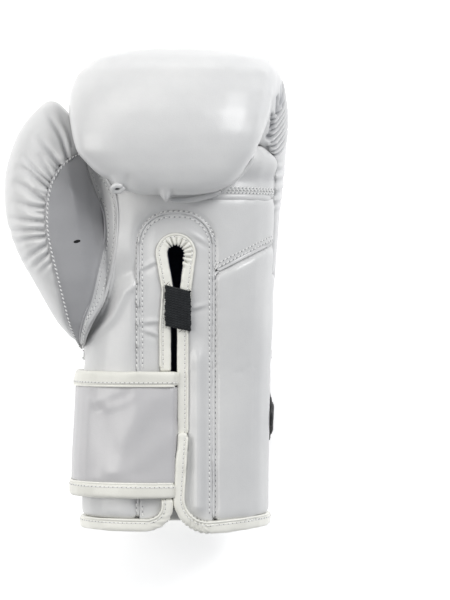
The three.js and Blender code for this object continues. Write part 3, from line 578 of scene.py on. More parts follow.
def woven(name, colour, light, scale, depth, roughness=0.85, sheen=0.2, streak=0.35):
    """Cloth of crossing sets of threads on the piece's own place."""
    material, bench = shader(name, colour, roughness, sheen=sheen, specular=0.3)
    place = bench.place()
    warp, weft, third = (bench.node("TexWave", wave_type="BANDS", bands_direction=way) for way in "XYZ")
    for wave in (warp, weft, third):
        wave.inputs["Scale"].default_value = scale
        wave.inputs["Distortion"].default_value = 0.6
        wave.inputs["Detail"].default_value = 1.0
        bench.join(place, wave.inputs["Vector"])
    weave = bench.maths("MAXIMUM", warp.outputs["Fac"], weft.outputs["Fac"])
    weave = bench.maths("MULTIPLY", weave, bench.ranged(third.outputs["Fac"], 0, 1, 0.6, 1.0))
    slub = bench.noise(place, scale * 0.5, 4.0, 0.6)
    weave = bench.maths("MULTIPLY", weave, 1 - streak)
    tone = bench.maths("ADD", weave, bench.maths("MULTIPLY", slub, streak))
    bench.paint(tone, colour, light)
    bench.roughen(bench.ranged(slub, 0.3, 0.7, roughness - 0.08, roughness + 0.08))
    bench.emboss(tone, depth)
    return material


def make_elastic():
    """Rubbery ribs with a fuzz of thread over them; the ribs come with the piece."""
    material, bench = shader("elastic_weave", (0.02, 0.023, 0.026), 0.75, sheen=0.15, specular=0.3)
    ribs = bench.maths("MULTIPLY", bench.kept("ribs"), 0.8)
    fuzz = bench.noise(bench.place(), 1500.0, 4.0, 0.7)
    tone = bench.maths("ADD", ribs, bench.maths("MULTIPLY", fuzz, 0.35), clamp=True)
    bench.paint(tone, (0.002, 0.003, 0.004), (0.022, 0.025, 0.028))
    bench.roughen(bench.ranged(fuzz, 0.3, 0.7, 0.65, 0.9))
    bench.emboss(fuzz, 0.0003)
    return material


def make_thread():
    material, bench = shader("sewing_thread", (0.8, 0.8, 0.78), 0.5, sheen=0.2)
    twist = bench.noise(bench.place(), 2600.0, 2.0, 0.5)
    bench.paint(twist, (0.7, 0.7, 0.69), (0.9, 0.9, 0.88))
    bench.roughen(bench.ranged(twist, 0.3, 0.7, 0.42, 0.6))
    bench.emboss(twist, 0.0001)
    return material


# Grey dots of painted shade where the needle went through, mottled a little.
def make_needle_hole_shade():
    material, bench = shader("needle_hole_shade", (0.34, 0.34, 0.35), 0.8)
    mottle = bench.noise(bench.place(), 1500.0, 2.0, 0.5)
    bench.paint(mottle, (0.26, 0.26, 0.27), (0.4, 0.4, 0.41))
    return material


def make_loop_pile():
    """Short fuzzy loops of a fastening strip."""
    material, bench = shader("loop_pile", (0.02, 0.02, 0.021), 0.95, sheen=0.35, specular=0.2)
    place = bench.place()
    fuzz = bench.noise(place, 1400.0, 5.0, 0.75)
    tufts = bench.node("TexVoronoi", feature="F1")
    tufts.inputs["Scale"].default_value = 900.0
    bench.join(place, tufts.inputs["Vector"])
    pile = bench.maths("ADD", fuzz, bench.maths("MULTIPLY", tufts.outputs["Distance"], 0.7))
    bench.paint(pile, (0.006, 0.006, 0.007), (0.036, 0.036, 0.038))
    bench.roughen(bench.ranged(fuzz, 0.3, 0.7, 0.88, 1.0))
    bench.emboss(pile, 0.0007)
    return material


# The second colour of each leather is its painted shade.
WHITE_LEATHER = leather("white_leather", (0.68, 0.68, 0.675), (0.44, 0.445, 0.46))
# The thumb panel's grey leather, painted darker than its own grey with the shade it lies in; also on the
# thumb seam's fold and the panel's piping.
SHADED_LEATHER = leather("thumb_leather", (0.38, 0.38, 0.39), (0.24, 0.242, 0.255))
STRAP_LEATHER = leather("strap_leather", (0.57, 0.562, 0.568), (0.44, 0.44, 0.455), roughness=(0.3, 0.4))
BINDING = leather(
    "binding_leather", (0.88, 0.872, 0.81), (0.62, 0.615, 0.56), roughness=(0.34, 0.46), grain=0.00009,
)
LINING_CLOTH = woven("lining_cloth", (0.024, 0.028, 0.064), (0.045, 0.05, 0.1), 900.0, 0.0001)
ELASTIC_WEAVE = make_elastic()
SATIN = woven(
    "satin_patch", (0.42, 0.43, 0.46), (0.56, 0.57, 0.6), 1300.0, 0.00004, roughness=0.42, sheen=0.0,
)
LOOP_PILE = make_loop_pile()
# Near-black cloth for the painted shade inside holes.
HOLE_SHADE = woven("painted_hole_shade", (0.002, 0.002, 0.003), (0.008, 0.008, 0.01), 900.0, 0.0001)
THREAD = make_thread()
NEEDLE_HOLE_SHADE = make_needle_hole_shade()


def finish_with(piece, material):
    """Gives the piece its material; no point of it is left lower than ON_TABLE."""
    points = read_points(piece)
    if points[:, 2].min() < ON_TABLE:
        points[:, 2] = np.maximum(points[:, 2], ON_TABLE)
        write_points(piece, points)
    piece.data.materials.clear()
    piece.data.materials.append(material)


def finish_pad(piece, material):
    """Finishes a padded piece with its material."""
    finish_with(piece, material)
    return piece


def trim(name, work, material):
    """A small piece that stands for no solid, from its workbench."""
    piece = new_piece(name, mesh_from(name, work))
    shade_smooth(piece)
    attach(piece, "root")
    finish_with(piece, material)
    return piece


# Camera, light and floor

GLOVE_MIDDLE = (0.0, 0.02, 0.08)  # metres, like the other places of the lights
STUDIO_COLOUR = (0.93, 0.955, 1.0, 1.0)
STUDIO_STRENGTH = 0.37
WARM_WHITE = (1.0, 0.985, 0.955)
PURE_WHITE = (1.0, 1.0, 1.0)
SOFTBOXES = (  # name, place, size in metres, watts, colour
    ("left_softbox", (-1.0, 0.1, 0.9), (0.65, 0.85), 6.4, WARM_WHITE),
    ("upper_left_softbox", (-0.7, 1.1, 0.95), (1.2, 1.0), 5.2, WARM_WHITE),
    ("right_softbox", (0.9, 0.75, 1.0), (0.6, 0.75), 12.0, PURE_WHITE),
    ("top_softbox", (0.15, 1.4, 0.8), (1.2, 0.6), 0.5, PURE_WHITE),
)
FLOOR_GLOW = 0.45
FLOOR_HALF = 3.0  # metres


def aim(thing, target):
    way = Vector(target) - thing.location
    thing.rotation_euler = way.to_track_quat("-Z", "Y").to_euler()


def place_camera():
    data = bpy.data.cameras.new("photo_camera")
    camera = bpy.data.objects.new("photo_camera", data)
    bpy.context.scene.collection.objects.link(camera)
    camera.location = in_frame(*CAMERA_AT)
    data.sensor_fit = "VERTICAL"
    data.sensor_height = 24.0
    data.lens = data.sensor_height * VIEW_DISTANCE / VIEW_HEIGHT
    data.clip_start = 0.01
    bpy.context.scene.camera = camera


def soft_light(name, location, size, power, colour):
    data = bpy.data.lights.new(name, "AREA")
    data.shape = "RECTANGLE"
    data.size, data.size_y = size
    data.energy = power
    data.color = colour
    light = bpy.data.objects.new(name, data)
    bpy.context.scene.collection.objects.link(light)
    light.location = location
    aim(light, GLOVE_MIDDLE)


def light_studio():
    world = bpy.data.worlds.new("studio")
    bpy.context.scene.world = world
    world.use_nodes = True
    background = next(n for n in world.node_tree.nodes if n.type == "BACKGROUND")
    background.inputs["Color"].default_value = STUDIO_COLOUR
    background.inputs["Strength"].default_value = STUDIO_STRENGTH
    for softbox in SOFTBOXES:
        soft_light(*softbox)
    bpy.context.scene.view_settings.view_transform = "Standard"


def lay_floor():
    work = bmesh.new()
    bmesh.ops.create_grid(work, x_segments=8, y_segments=8, size=FLOOR_HALF)
    floor = new_piece("floor", mesh_from("floor", work))
    material, bench = shader("pale_floor", (0.93, 0.93, 0.93), 0.75)
    bench.surface.inputs["Emission Color"].default_value = (1, 1, 1, 1)
    bench.surface.inputs["Emission Strength"].default_value = FLOOR_GLOW
    bench.paint(bench.noise(bench.place(), 6.0, 2.0, 0.5), (0.92, 0.92, 0.92), (0.94, 0.94, 0.94))
    floor.data.materials.append(material)


# Padded leather

GATHERED_BOXES = (((49, 88, 22), (80, 182, 97)), ((54, 122, 40), (80, 180, 86)))  # finer mesh in these
ROLL_CORNER = (60.5, 184.0, 62.0)
CORNER_REACH = (1.9, 2.0)


def dress_mitt():
    """Knuckle pad and finger roll in one skin, with gathers at the little finger's side."""
    piece = skin("mitt_leather", "padded_mitt", 1.7, 4, swell=0.35)
    plump(piece, "padded_mitt", 2.0, 6.0)
    x, y, z = read_points(piece).T
    wall = smooth_step(x, 40, 50) * smooth_step(y, 84, 96)
    ease(piece, 26, wall * (1 - smooth_step(z, 84, 92)))
    ease(piece, 10, 1 - wall)
    for low, high in GATHERED_BOXES:
        points = read_points(piece)
        refine(piece, ((points > low) & (points < high)).all(axis=1))
    points = read_points(piece)
    corner = hill(np.linalg.norm((points - ROLL_CORNER) * (1, 1, 0.6), axis=1), 17)
    points[:, :2] += corner[:, None] * CORNER_REACH
    write_points(piece, points)
    gather_lift, painted_shade = side_gathers(points)
    raise_skin(piece, 0.45 * soft_noise(points, 42, 3) + 0.1 * soft_noise(points, 11, 4) + gather_lift)
    pinch_roll(piece)
    # Painted shade in the gathers and tucks, and low on the sides, darkest near the table.
    mark(piece, "painted_shade", painted_shade + 0.3 * (1 - smooth_step(points[:, 2], 8, 68)))
    return finish_pad(piece, WHITE_LEATHER)


GATHER_SLOTS = (  # x, first and last y, half width and depth of the deep tucks above the pleats
    (62.4, 158.0, 168.5, 0.8, 3.4),
    (58.8, 149.0, 157.0, 0.8, 3.2),
    (65.0, 164.0, 178.0, 0.9, 1.5),
    (57.6, 144.0, 149.0, 0.7, 1.8),
)
GATHER_HOLES = ((56.9, 144.0, 1.5), (56.4, 137.6, 1.3), (58.6, 133.4, 1.1))  # x, y and size
GATHER_KNOT = (58.6, 139.6)


def side_gathers(points):
    """Pleats that fan out over the side wall from the roll's corner, and the tucks above them; gives their
    lift and the painted shade in their grooves, tucks and holes.
    """
    x, y, z = points.T
    down = np.clip(80 - z, 0, None)
    on_wall = smooth_step(x, 57.0, 60.0) * (1 - smooth_step(z, 80, 90))
    lean = 0.85 * np.minimum(down, 34) + 0.7 * soft_noise(points, 10, 11)
    place = (y - 128.7 - lean) / (3.1 * (1 + 0.02 * down))
    inside = smooth_step(place, -2.7, -2.1) * (1 - smooth_step(place, 5.6, 6.4))
    inside *= np.maximum(smooth_step(place, -0.9, -0.3), smooth_step(down, 5, 9))
    fade = on_wall * inside * (1 - smooth_step(down, 30, 56))
    groove = hill(place - np.round(place), 0.2)
    lift = fade * (1.0 - 3.2 * groove)
    painted_shade = 0.9 * fade * groove
    for middle, first, last, width, deep in GATHER_SLOTS:
        slot = hill(x - middle - 0.05 * (y - first), width) * smooth_step(z, 52, 62)
        slot *= smooth_step(y, first - 2.5, first + 1.5) * (1 - smooth_step(y, last - 2.0, last + 3.5))
        lift -= deep * slot
        painted_shade += slot
    for hole_x, hole_y, size in GATHER_HOLES:
        hole = hill(np.hypot(x - hole_x, y - hole_y), size) * smooth_step(z, 60, 66)
        lift -= 3.0 * hole
        painted_shade += 1.1 * hole
    ring = np.hypot(x - GATHER_KNOT[0], y - GATHER_KNOT[1]) - 2.6
    lift += 0.8 * hill(ring, 0.9) * smooth_step(z, 62, 68)
    low = hill(z - 56.0, 14) * smooth_step(x, 50, 58)
    low *= smooth_step(y, 96, 106) * (1 - smooth_step(y, 124, 132))
    wave = np.sin((y - 0.25 * down) * 0.88 + 1.0 + 1.4 * soft_noise(points, 9, 12))
    lift += low * (wave - 0.25)
    painted_shade += 0.35 * low * np.clip(-wave, 0, 1)
    return lift, painted_shade


ROLL_PUCKERS = ((-33.6, 114.4, 2.6, 3.2), (-5.6, 107.2, 4.8, 2.1))  # x, y, length and size
PUCKER_HOLE = (-34.0, 110.4)


def pinch_roll(piece):
    """Two puckers at the roll's free edge: a tied loop with a hole, and a pointed tuck."""
    points = read_points(piece)
    rim = smooth_step(points[:, 2], 78, 84)
    for x, y, long, size in ROLL_PUCKERS:
        rel = points[:, :2] - np.array([x, y])
        near = hill(np.linalg.norm(rel, axis=1), size) * rim
        points[:, 1] -= long * near
        for side in (-1.7 * size, 1.8 * size):
            dent = hill(np.linalg.norm(rel - (side, 1.0), axis=1), 0.9 * size) * rim
            points[:, 1] += 0.8 * dent
            points[:, 2] -= 0.5 * dent
    hole = hill(np.linalg.norm((points[:, :2] - PUCKER_HOLE) * (1, 1.3), axis=1), 1.4) * rim
    points[:, 2] -= 4.0 * hole
    write_points(piece, points)


def dress_thumb():
    """The thumb's outer leather, gathered along the seam round its inner panel."""
    piece = skin("thumb_leather", "thumb_shell", 1.1, 40, swell=0.45)
    plump(piece, "thumb_shell", 1.6)
    close_seams(piece, curve_through(THUMB_SEAM, 2.0))
    points = read_points(piece)
    top = smooth_step(points[:, 2], 40, 58)
    lift = 0.4 * soft_noise(points, 30, 21) + 0.08 * soft_noise(points, 8, 22)
    painted_shade = np.zeros(len(points))
    for number, (line, deep, width) in enumerate(THUMB_CREASES):
        crease = curve_through(line, 2.0)
        long = len(crease) * 2.0
        along, off = beside(crease, points[:, :2])
        t = along / long
        off = off + 0.35 * soft_noise(points, 9, 200 + number)
        wide = width * (0.75 + 0.9 * t)
        fade = top * smooth_step(t, -0.01, 0.06) * np.clip(1 - t, 0, 1) ** 0.7
        groove = hill(off, wide) * fade
        lift -= 1.25 * deep * groove
        lift += 0.38 * deep * hill(np.abs(off) - 2.2 * wide, 1.2 * wide) * fade
        # Painted shade in each crease's groove.
        painted_shade += (0.8 - 0.35 * t) * groove * min(1.0, deep / 2.2)
    _, left = beside(curve_through(THUMB_SEAM, 1.5), points[:, :2])
    lift -= 0.5 * hill(left - 0.4, 1.2) * top
    raise_skin(piece, lift)
    mark(piece, "painted_shade", painted_shade)
    return finish_pad(piece, WHITE_LEATHER)


def dress_thumb_panel():
    piece = skin("thumb_panel_leather", "thumb_panel", 1.1, 10, swell=0.4)
    seam = curve_through(THUMB_SEAM, 2.0)
    close_seams(piece, seam, curve_through(PANEL_SEAM, 2.0))
    points = read_points(piece)
    _, left = beside(seam, points[:, :2])
    raise_skin(piece, 0.9 * soft_noise(points, 34, 31) * facing_up(piece))
    # Painted shade along the thumb's seam.
    mark(piece, "painted_shade", 0.25 * hill(left, 3.0))
    return finish_pad(piece, SHADED_LEATHER)


def dress_gusset():
    piece = skin("thumb_gusset_leather", "thumb_gusset", 1.0, 8, swell=0.4)
    close_seams(piece, curve_through(PANEL_SEAM, 2.0), curve_through(PALM_SEAM, 2.0))
    raise_skin(piece, 0.35 * soft_noise(read_points(piece), 16, 41))
    finish_with(piece, WHITE_LEATHER)
    return piece


def pad_edge(distance, margin, rise, drop):
    """How far a pad's leather lies below its crown beside a seam: flat, then rising in a round."""
    t = np.clip((distance - margin) / rise, 0, 1)
    return -drop * (1 - np.sqrt(1 - (1 - t) ** 2))


PALM_FOLD = ((-26, 53), (-31.0, 49.5), (-35.5, 41), (-40, 33), (-49, 24), (-60, 14))


def dress_palm():
    """Palm panel with the padded block of the cuff at the thumb's side."""
    piece = skin("palm_leather", "palm_panel", 1.3, 22, swell=0.6)
    plump(piece, "palm_panel", 1.5, 4.0)
    close_seams(piece, arch_line(), DIAGONAL_SEAM, GRIP_SEAM, curve_through(PALM_SEAM, 2.0))
    points = read_points(piece)
    x, y = points[:, 0], points[:, 1]
    up = facing_up(piece)
    lift = 0.35 * soft_noise(points, 38, 51) * up
    _, left = beside(curve_through(PALM_FOLD, 1.5), points[:, :2])
    on_left = (1 - smooth_step(x, -25.5, -22.5)) * up
    lift += 1.7 * hill(left - 1.0, 2.6) * on_left
    hollow = smooth_step(-left, 0.5, 9.0) * (1 - smooth_step(y, 56, 84)) * on_left
    lift -= 3.4 * hollow * (1 - 0.6 * smooth_step(-left, 9, 26))
    _, outward = beside(arch_line(), points[:, :2])
    high = smooth_step(y, 44, 60)
    lift += up * high * pad_edge(np.abs(outward), 2.6, 9.0, 2.4)
    lift += up * (1 - high) * pad_edge(np.abs(outward), 2.4, 3.6, 2.7)
    lift += up * pad_edge(np.abs(y - GRIP_SEAM_Y), 0.0, 4.5, 1.0)
    raise_skin(piece, lift)
    points = read_points(piece)
    under = (1 - smooth_step(points[:, 0], 14, 19)) * (points[:, 2] > 60)
    points[:, 1] += 6.0 * under * smooth_step(points[:, 1], 97, 107)
    write_points(piece, points)
    # Painted shade along the arch's seam.
    mark(piece, "painted_shade", 0.2 * hill(outward, 2.4) * up)
    return finish_pad(piece, WHITE_LEATHER)


def dress_grip():
    piece = skin("grip_bar_leather", "grip_bar", 1.2, 20, swell=0.6)
    plump(piece, "grip_bar", 1.2, 4.0)
    close_seams(piece, GRIP_SEAM, curve_through(PALM_SEAM, 2.0))
    points = read_points(piece)
    x, y, _ = points.T
    to_finger_side = smooth_step(x, 20, 34)
    roll = hill(y - 128, 7.0) * to_finger_side
    hollow = hill(y - 118, 4.5) * to_finger_side
    lift = 2.0 * roll - 1.3 * hollow + 0.25 * soft_noise(points, 14, 61)
    lift -= 2.6 * (1 - smooth_step(x, 14, 19)) * (1 - smooth_step(y, 113, 120))
    raise_skin(piece, lift * facing_up(piece))
    # Painted shade in the hollow.
    mark(piece, "painted_shade", 0.35 * hollow)
    return finish_pad(piece, WHITE_LEATHER)


def dress_bolster():
    piece = skin("bolster_leather", "wrist_bolster", 1.3, 22, swell=0.7)
    plump(piece, "wrist_bolster", 1.6, 4.0)
    close_seams(piece, arch_line(), DIAGONAL_SEAM)
    points = read_points(piece)
    x = points[:, 0]
    _, above = beside(DIAGONAL_SEAM, points[:, :2])
    lift = 0.3 * soft_noise(points, 44, 71) + 0.9 * hill(x - 44, 17)
    lift += pad_edge(np.clip(x - ARCH_HALF, 0, None), 2.6, 3.4, 2.6)
    lift += pad_edge(np.abs(above), 2.6, 4.0, 2.2) * (x > ARCH_HALF + 2)
    raise_skin(piece, lift * facing_up(piece))
    # Painted shade along the arch's seam.
    mark(piece, "painted_shade", 0.15 * hill(x - 22, 3))
    return finish_pad(piece, WHITE_LEATHER)


FACING_CREASES = (  # x and y of the middle, slant and half length
    (-15, 31, 0.1, 8), (-14, 24, -0.35, 7), (13, 40, 0.25, 6), (-16, 66, 0.5, 7), (14, 82, -0.6, 6),
)


def dress_facing():
    """Thin leather round the slit, with a narrow padded roll at the little finger's side."""
    piece = skin("facing_leather", "slit_facing", 0.7, 5, swell=0.15, thicken=0.25)
    close_seams(piece, arch_line())
    points = read_points(piece)
    x, y = points[:, 0], points[:, 1]
    lift = 0.3 * soft_noise(points, 15, 81)
    ends = smooth_step(y, -90, -82) * (1 - smooth_step(y, 6, 22))
    lift += 3.1 * hill(x - 13.6, 3.9) * ends
    for at_x, at_y, way, long in FACING_CREASES:
        across = (y - at_y) - way * (x - at_x)
        lift += (0.8 * hill(across, 1.6) - 0.6 * hill(across + 3, 1.8)) * hill(x - at_x, long)
    _, inward = beside(arch_line(), points[:, :2])
    lift += 0.5 * hill(inward, 2.6)
    raise_skin(piece, lift * facing_up(piece))
    points = read_points(piece)
    widen_top(points)
    write_points(piece, points)
    # Painted shade along the arch's seam.
    mark(piece, "painted_shade", 0.2 * hill(inward, 2.4))
    return finish_pad(piece, WHITE_LEATHER)


def dress_back_pad():
    piece = skin("cuff_back_leather", "cuff_back_pad", 1.8, 12, swell=0.4)
    plump(piece, "cuff_back_pad", 1.4)
    raise_skin(piece, 0.3 * soft_noise(read_points(piece), 34, 91))
    return finish_pad(piece, WHITE_LEATHER)


def dress_welt():
    piece = skin("back_welt_leather", "back_welt", 1.1, 6, swell=0.3)
    raise_skin(piece, 0.2 * soft_noise(read_points(piece), 12, 95))
    points = read_points(piece)
    points[:, 0] -= smooth_step(points[:, 0], 48, 58)
    write_points(piece, points)
    finish_with(piece, WHITE_LEATHER)
    return piece


# Bindings

def dress_slit_binding():
    """Folded tape round the slit, pleated where it turns round the slit's head."""
    piece = skin("slit_binding_tape", "slit_binding", 0.7, 7, swell=0.35)
    points = read_points(piece)
    rel = points[:, :2] - EYE
    turn = np.degrees(np.arctan2(rel[:, 1], rel[:, 0]))
    out = np.linalg.norm(rel, axis=1)
    round_head = smooth_step(turn, -75, -55) * (1 - smooth_step(turn, 125, 150))
    round_head *= smooth_step(points[:, 1], 50, 56)
    phase = turn / 21.0 + 0.35 * soft_noise(points, 9, 101)
    groove = hill(phase - np.round(phase), 0.17)
    inner = 1 - smooth_step(out, 8.2, 11.2)
    up = facing_up(piece)
    lift = round_head * inner * (0.7 - 2.3 * groove) * up + 0.14 * soft_noise(points, 5, 102)
    raise_skin(piece, lift)
    points = read_points(piece)
    scallop = round_head * (1 - smooth_step(out, 5.6, 8.4)) * (0.3 - groove)
    points[:, :2] -= (rel / out[:, None]) * (0.9 * scallop)[:, None]
    write_points(piece, points)
    # Painted shade in the pleats' grooves round the slit's head.
    mark(piece, "painted_shade", 0.85 * round_head * inner * groove * up)
    finish_with(piece, BINDING)
    return piece


FLAP_WRINKLES = (  # corner, first and last turn, turn from one to the next, depth
    (FINGER_FLAP, -150, -80, 9.0, 1.0),
    (THUMB_FLAP, -80, -5, 16.0, 0.5),
)


def dress_cuff_binding():
    """Folded tape round the open end, wrinkled at the flaps' corners."""
    piece = skin("cuff_binding_tape", "cuff_binding", 0.9, 7, swell=0.35)
    points = read_points(piece)
    lap = hill(points[:, 1] - LAP_Y, 2.0) * (points[:, 0] < 12) * (points[:, 2] > 60)
    points[:, 1] += 1.4 * lap
    points[:, 2] += 0.5 * lap
    widen_top(points)
    write_points(piece, points)
    lift = 0.42 * soft_noise(points, 8, 111)
    painted_shade = np.zeros(len(points))
    for corner, first, last, step, deep in FLAP_WRINKLES:
        rel = points[:, :2] - corner[:2]
        turn = np.degrees(np.arctan2(rel[:, 1], rel[:, 0]))
        depth = corner[2] - np.linalg.norm(rel, axis=1)
        bend = smooth_step(turn, first, first + 18) * (1 - smooth_step(turn, last - 18, last))
        bend = bend * (points[:, 2] > PALM_SIDE) * (np.abs(depth - 3.5) < 8)
        phase = (turn + 3.2 * depth) / step + 0.5 * soft_noise(points, 8, 112)
        groove = hill(phase - np.round(phase), 0.22)
        lift += deep * bend * (0.4 - groove)
        # Painted shade in the wrinkles' grooves.
        painted_shade += 0.5 * bend * groove * deep
    raise_skin(piece, lift)
    mark(piece, "painted_shade", painted_shade)
    finish_with(piece, BINDING)
    return piece


def widened(points):
    """The thumb's flap reaches further over beside the hem; takes and gives x and y."""
    points = np.array(points, float)
    reach = smooth_step(points[:, 0], -19, -8) * (points[:, 0] < -2.5)
    points[:, 0] += 1.5 * reach * smooth_step(-points[:, 1], 70, 80)
    return points


def widen_top(points):
    top = points[:, 2] > PALM_SIDE
    points[top, :2] = widened(points[top, :2])


def flare(piece):
    """The strap stands off the cuff towards its lower edge on the thumb's side, and hugs it above."""
    points = read_points(piece)
    beside_thumb = smooth_step(-points[:, 0], 42, 60)
    points[:, 0] += beside_thumb * (1.1 - 2.6 * smooth_step(-points[:, 1], 0, 77))
    tucked = smooth_step(points[:, 0], -11, -5) * (points[:, 0] < 12) * (points[:, 2] > 60)
    points[:, 0] += 2.3 * tucked
    write_points(piece, points)


def dress_strap_bindings():
    made = []
    for name, node, seed in (
        ("strap_binding_top_tape", "strap_binding_top", 121),
        ("strap_binding_bottom_tape", "strap_binding_bottom", 122),
        ("strap_binding_end_tape", "strap_binding_end", 123),
    ):
        piece = skin(name, node, 0.9, 6, swell=0.4)
        creases = soft_noise(read_points(piece), 8, seed)
        raise_skin(piece, 0.2 * creases)
        # Darkened a little all over, and more in the soft creases, through the painted-shade attribute.
        mark(piece, "painted_shade", 0.34 + 0.12 * creases)
        flare(piece)
        finish_with(piece, BINDING)
        made.append(piece)
    return made


# Strap, patch, loop panel, elastic and lining

STRAP_FOLDS = (  # places, half width and rise
    ([(-12, -11), (-26, -34), (-40, -66)], 7.0, 1.0),
    ([(-58, -16), (-47, -17), (-36, -11)], 3.6, 0.7),
    ([(-22, -10), (-29, -17), (-41, -22)], 3.2, 0.6),
    ([(-5, -40), (-20, -54), (-36, -66)], 6.0, 0.7),
    ([(-54, -20), (-55, -42), (-53, -66)], 4.5, 0.5),
    ([(-46, -30), (-38, -48), (-22, -66)], 6.0, -0.6),
)


def dress_strap():
    """Strap leather with the soft folds that its pull over the cuff leaves."""
    piece = skin("strap_leather_band", "wrist_strap", 1.1, 4, swell=0.3)
    points = read_points(piece)
    top = smooth_step(points[:, 2], 60, 74)
    lift = 0.35 * soft_noise(points, 26, 131)
    bottom, top_edge = STRAP_EDGE_Y
    held = 1 - smooth_step(points[:, 1], top_edge - 9, top_edge)
    held *= smooth_step(points[:, 1], bottom, bottom + 9)
    for line, width, rise in STRAP_FOLDS:
        _, left = beside(curve_through(line, 3.0), points[:, :2])
        lift += rise * (hill(left, width) - 0.4 * hill(left + 2 * width, width)) * top * held
    raise_skin(piece, lift)
    points = read_points(piece)
    for edge, way in ((top_edge, 1), (bottom, -1)):
        points[:, 1] += way * 0.9 * hill(points[:, 1] - edge, 1.6)
    write_points(piece, points)
    flare(piece)
    finish_with(piece, STRAP_LEATHER)
    return piece


def dress_patch():
    piece = skin("satin_patch_cloth", "strap_patch", 0.7, 3, swell=0.05)
    raise_skin(piece, 0.08 * soft_noise(read_points(piece), 18, 141))
    finish_with(piece, SATIN)
    return piece


def dress_loop_panel():
    piece = skin("loop_pile_strip", "loop_panel", 1.0, 4, swell=0.1)
    points = read_points(piece)
    raise_skin(piece, 0.25 * soft_noise(points, 2.2, 151) + 0.2 * soft_noise(points, 5, 152))
    finish_with(piece, LOOP_PILE)
    return piece


def dress_elastic():
    """Ribbed elastic band across the slit, with frayed corners."""
    piece = skin("elastic_ribs", "elastic_band", 0.45, 2, swell=0.1)
    points = read_points(piece)
    slant = points[:, 1] + 0.22 * points[:, 0]
    cords = np.abs((points[:, 0] / 1.9) % 1 - 0.5) * 2
    ribs = np.sin((slant + 0.8 * cords) * 2 * math.pi / 1.5)
    fray = soft_noise(points, 1.6, 162) * (1 - smooth_step(7.0 - np.abs(points[:, 0] - 1.2), 0.0, 1.4))
    lift = (0.3 * ribs + 0.16 * cords) * facing_up(piece) + 0.25 * soft_noise(points, 2.4, 161) + 0.5 * fray
    raise_skin(piece, lift)
    mark(piece, "ribs", 0.5 + 0.4 * ribs * (0.4 + 0.6 * cords) + 0.2 * soft_noise(points, 3.0, 163))
    finish_with(piece, ELASTIC_WEAVE)
    return piece


LINING_LOFT = 1.3  # how much thicker the lining is, on its inside
TURNED_IN = 8.5  # the binding is turned in over the hem this far


def dress_lining():
    """The cloth sock for the hand and the thumb, which starts a little inside the hem."""
    work = solid_shape("hand_lining")
    bmesh.ops.subdivide_edges(work, edges=work.edges, cuts=1, smooth=0.6, use_grid_fill=True)
    piece = new_piece("lining_cloth_sock", mesh_from("lining_cloth_sock", work))
    shade_smooth(piece)
    points = read_points(piece)
    to_middle = points * (-1, 0, -1) + (0, 0, PALM_SIDE)
    inner = (read_normals(piece) * to_middle).sum(axis=1) > 0
    raise_skin(piece, 0.35 * soft_noise(points, 14, 171) + LINING_LOFT * inner)
    points = read_points(piece)
    points[:, 1] += TURNED_IN * smooth_step(-points[:, 1], 62, 90)
    write_points(piece, points)
    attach(piece, "root")
    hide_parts("hand_lining")
    finish_with(piece, LINING_CLOTH)
    return piece


# Stitches

def tree_of(pieces):
    work = bmesh.new()
    for piece in pieces:
        work.from_mesh(piece.data)
    tree = BVHTree.FromBMesh(work)
    work.free()
    return tree


def over(parts, *names):
    """The surface of the pieces of these names, for rays to meet."""
    return tree_of([parts[name] for name in names])


def drop(x, y, tree):
    """The place and the normal where a plumb line from above meets the pieces."""
    return tree.ray_cast(in_frame(x, y, ABOVE), Vector((0, 0, -1)))[:2]


def laid_from_above(line, tree):
    """The line dropped on the pieces below it: places and surface normals."""
    found = (drop(x, y, tree) for x, y in even(line, 0.7))
    return [(place, normal) for place, normal in found if place is not None and normal.z > STEEP]


def laid_around(y_of, first, last, tree):
    """A line round the glove at the distance y_of(turn) from the wrist, laid on the pieces."""
    hits = []
    for turn in np.arange(first, last, 0.5):
        way = Vector((math.cos(math.radians(turn)), 0, math.sin(math.radians(turn))))
        start = in_frame(CUFF_AXIS[0], y_of(turn), CUFF_AXIS[1]) + way * ABOVE * MM
        place, normal, _, _ = tree.ray_cast(start, -way)
        if place is not None:
            hits.append((place, normal))
    return hits


def level(y):
    return lambda turn: y


def stitch_shape(long, thick):
    """One stitch as a small bead, with its ends bent down into the leather."""
    work = bmesh.new()
    bmesh.ops.create_uvsphere(work, u_segments=6, v_segments=5, radius=1.0)
    bmesh.ops.rotate(work, verts=work.verts, matrix=Matrix.Rotation(math.radians(90), 3, "Y"))
    bmesh.ops.scale(work, verts=work.verts, vec=(long / 2 * MM, thick * MM, 0.8 * thick * MM))
    for vert in work.verts:
        vert.co.z -= 0.45 * thick * MM * (vert.co.x / (long / 2 * MM)) ** 2
    return mesh_from("stitch", work)


def hole_shape(size):
    work = bmesh.new()
    bmesh.ops.create_icosphere(work, subdivisions=1, radius=size * MM)
    bmesh.ops.scale(work, verts=work.verts, vec=(1, 1, 0.45))
    return mesh_from("hole", work)


def along_hits(hits, pitch):
    """Even places along a laid line, each with its way and normal; the line breaks where it jumps."""
    made = []
    first = 0
    for i in range(1, len(hits) + 1):
        if i == len(hits) or (hits[i][0] - hits[i - 1][0]).length > JUMP:
            made += along_run(hits[first:i], pitch)
            first = i
    return made


def along_run(hits, pitch):
    if len(hits) < 3:
        return []
    places, normals = (np.array([hit[k] for hit in hits]) for k in (0, 1))
    run = run_along(places)

    def at(distance, table):
        return Vector([np.interp(distance, run, table[:, i]) for i in range(3)])

    made = []
    for k in range(int((run[-1] - 0.2 * pitch) / pitch)):
        middle = (k + 0.5) * pitch
        way = at(middle + 0.3 * pitch, places) - at(middle - 0.3 * pitch, places)
        made.append((at(middle, places), way.normalized(), at(middle, normals).normalized()))
    return made


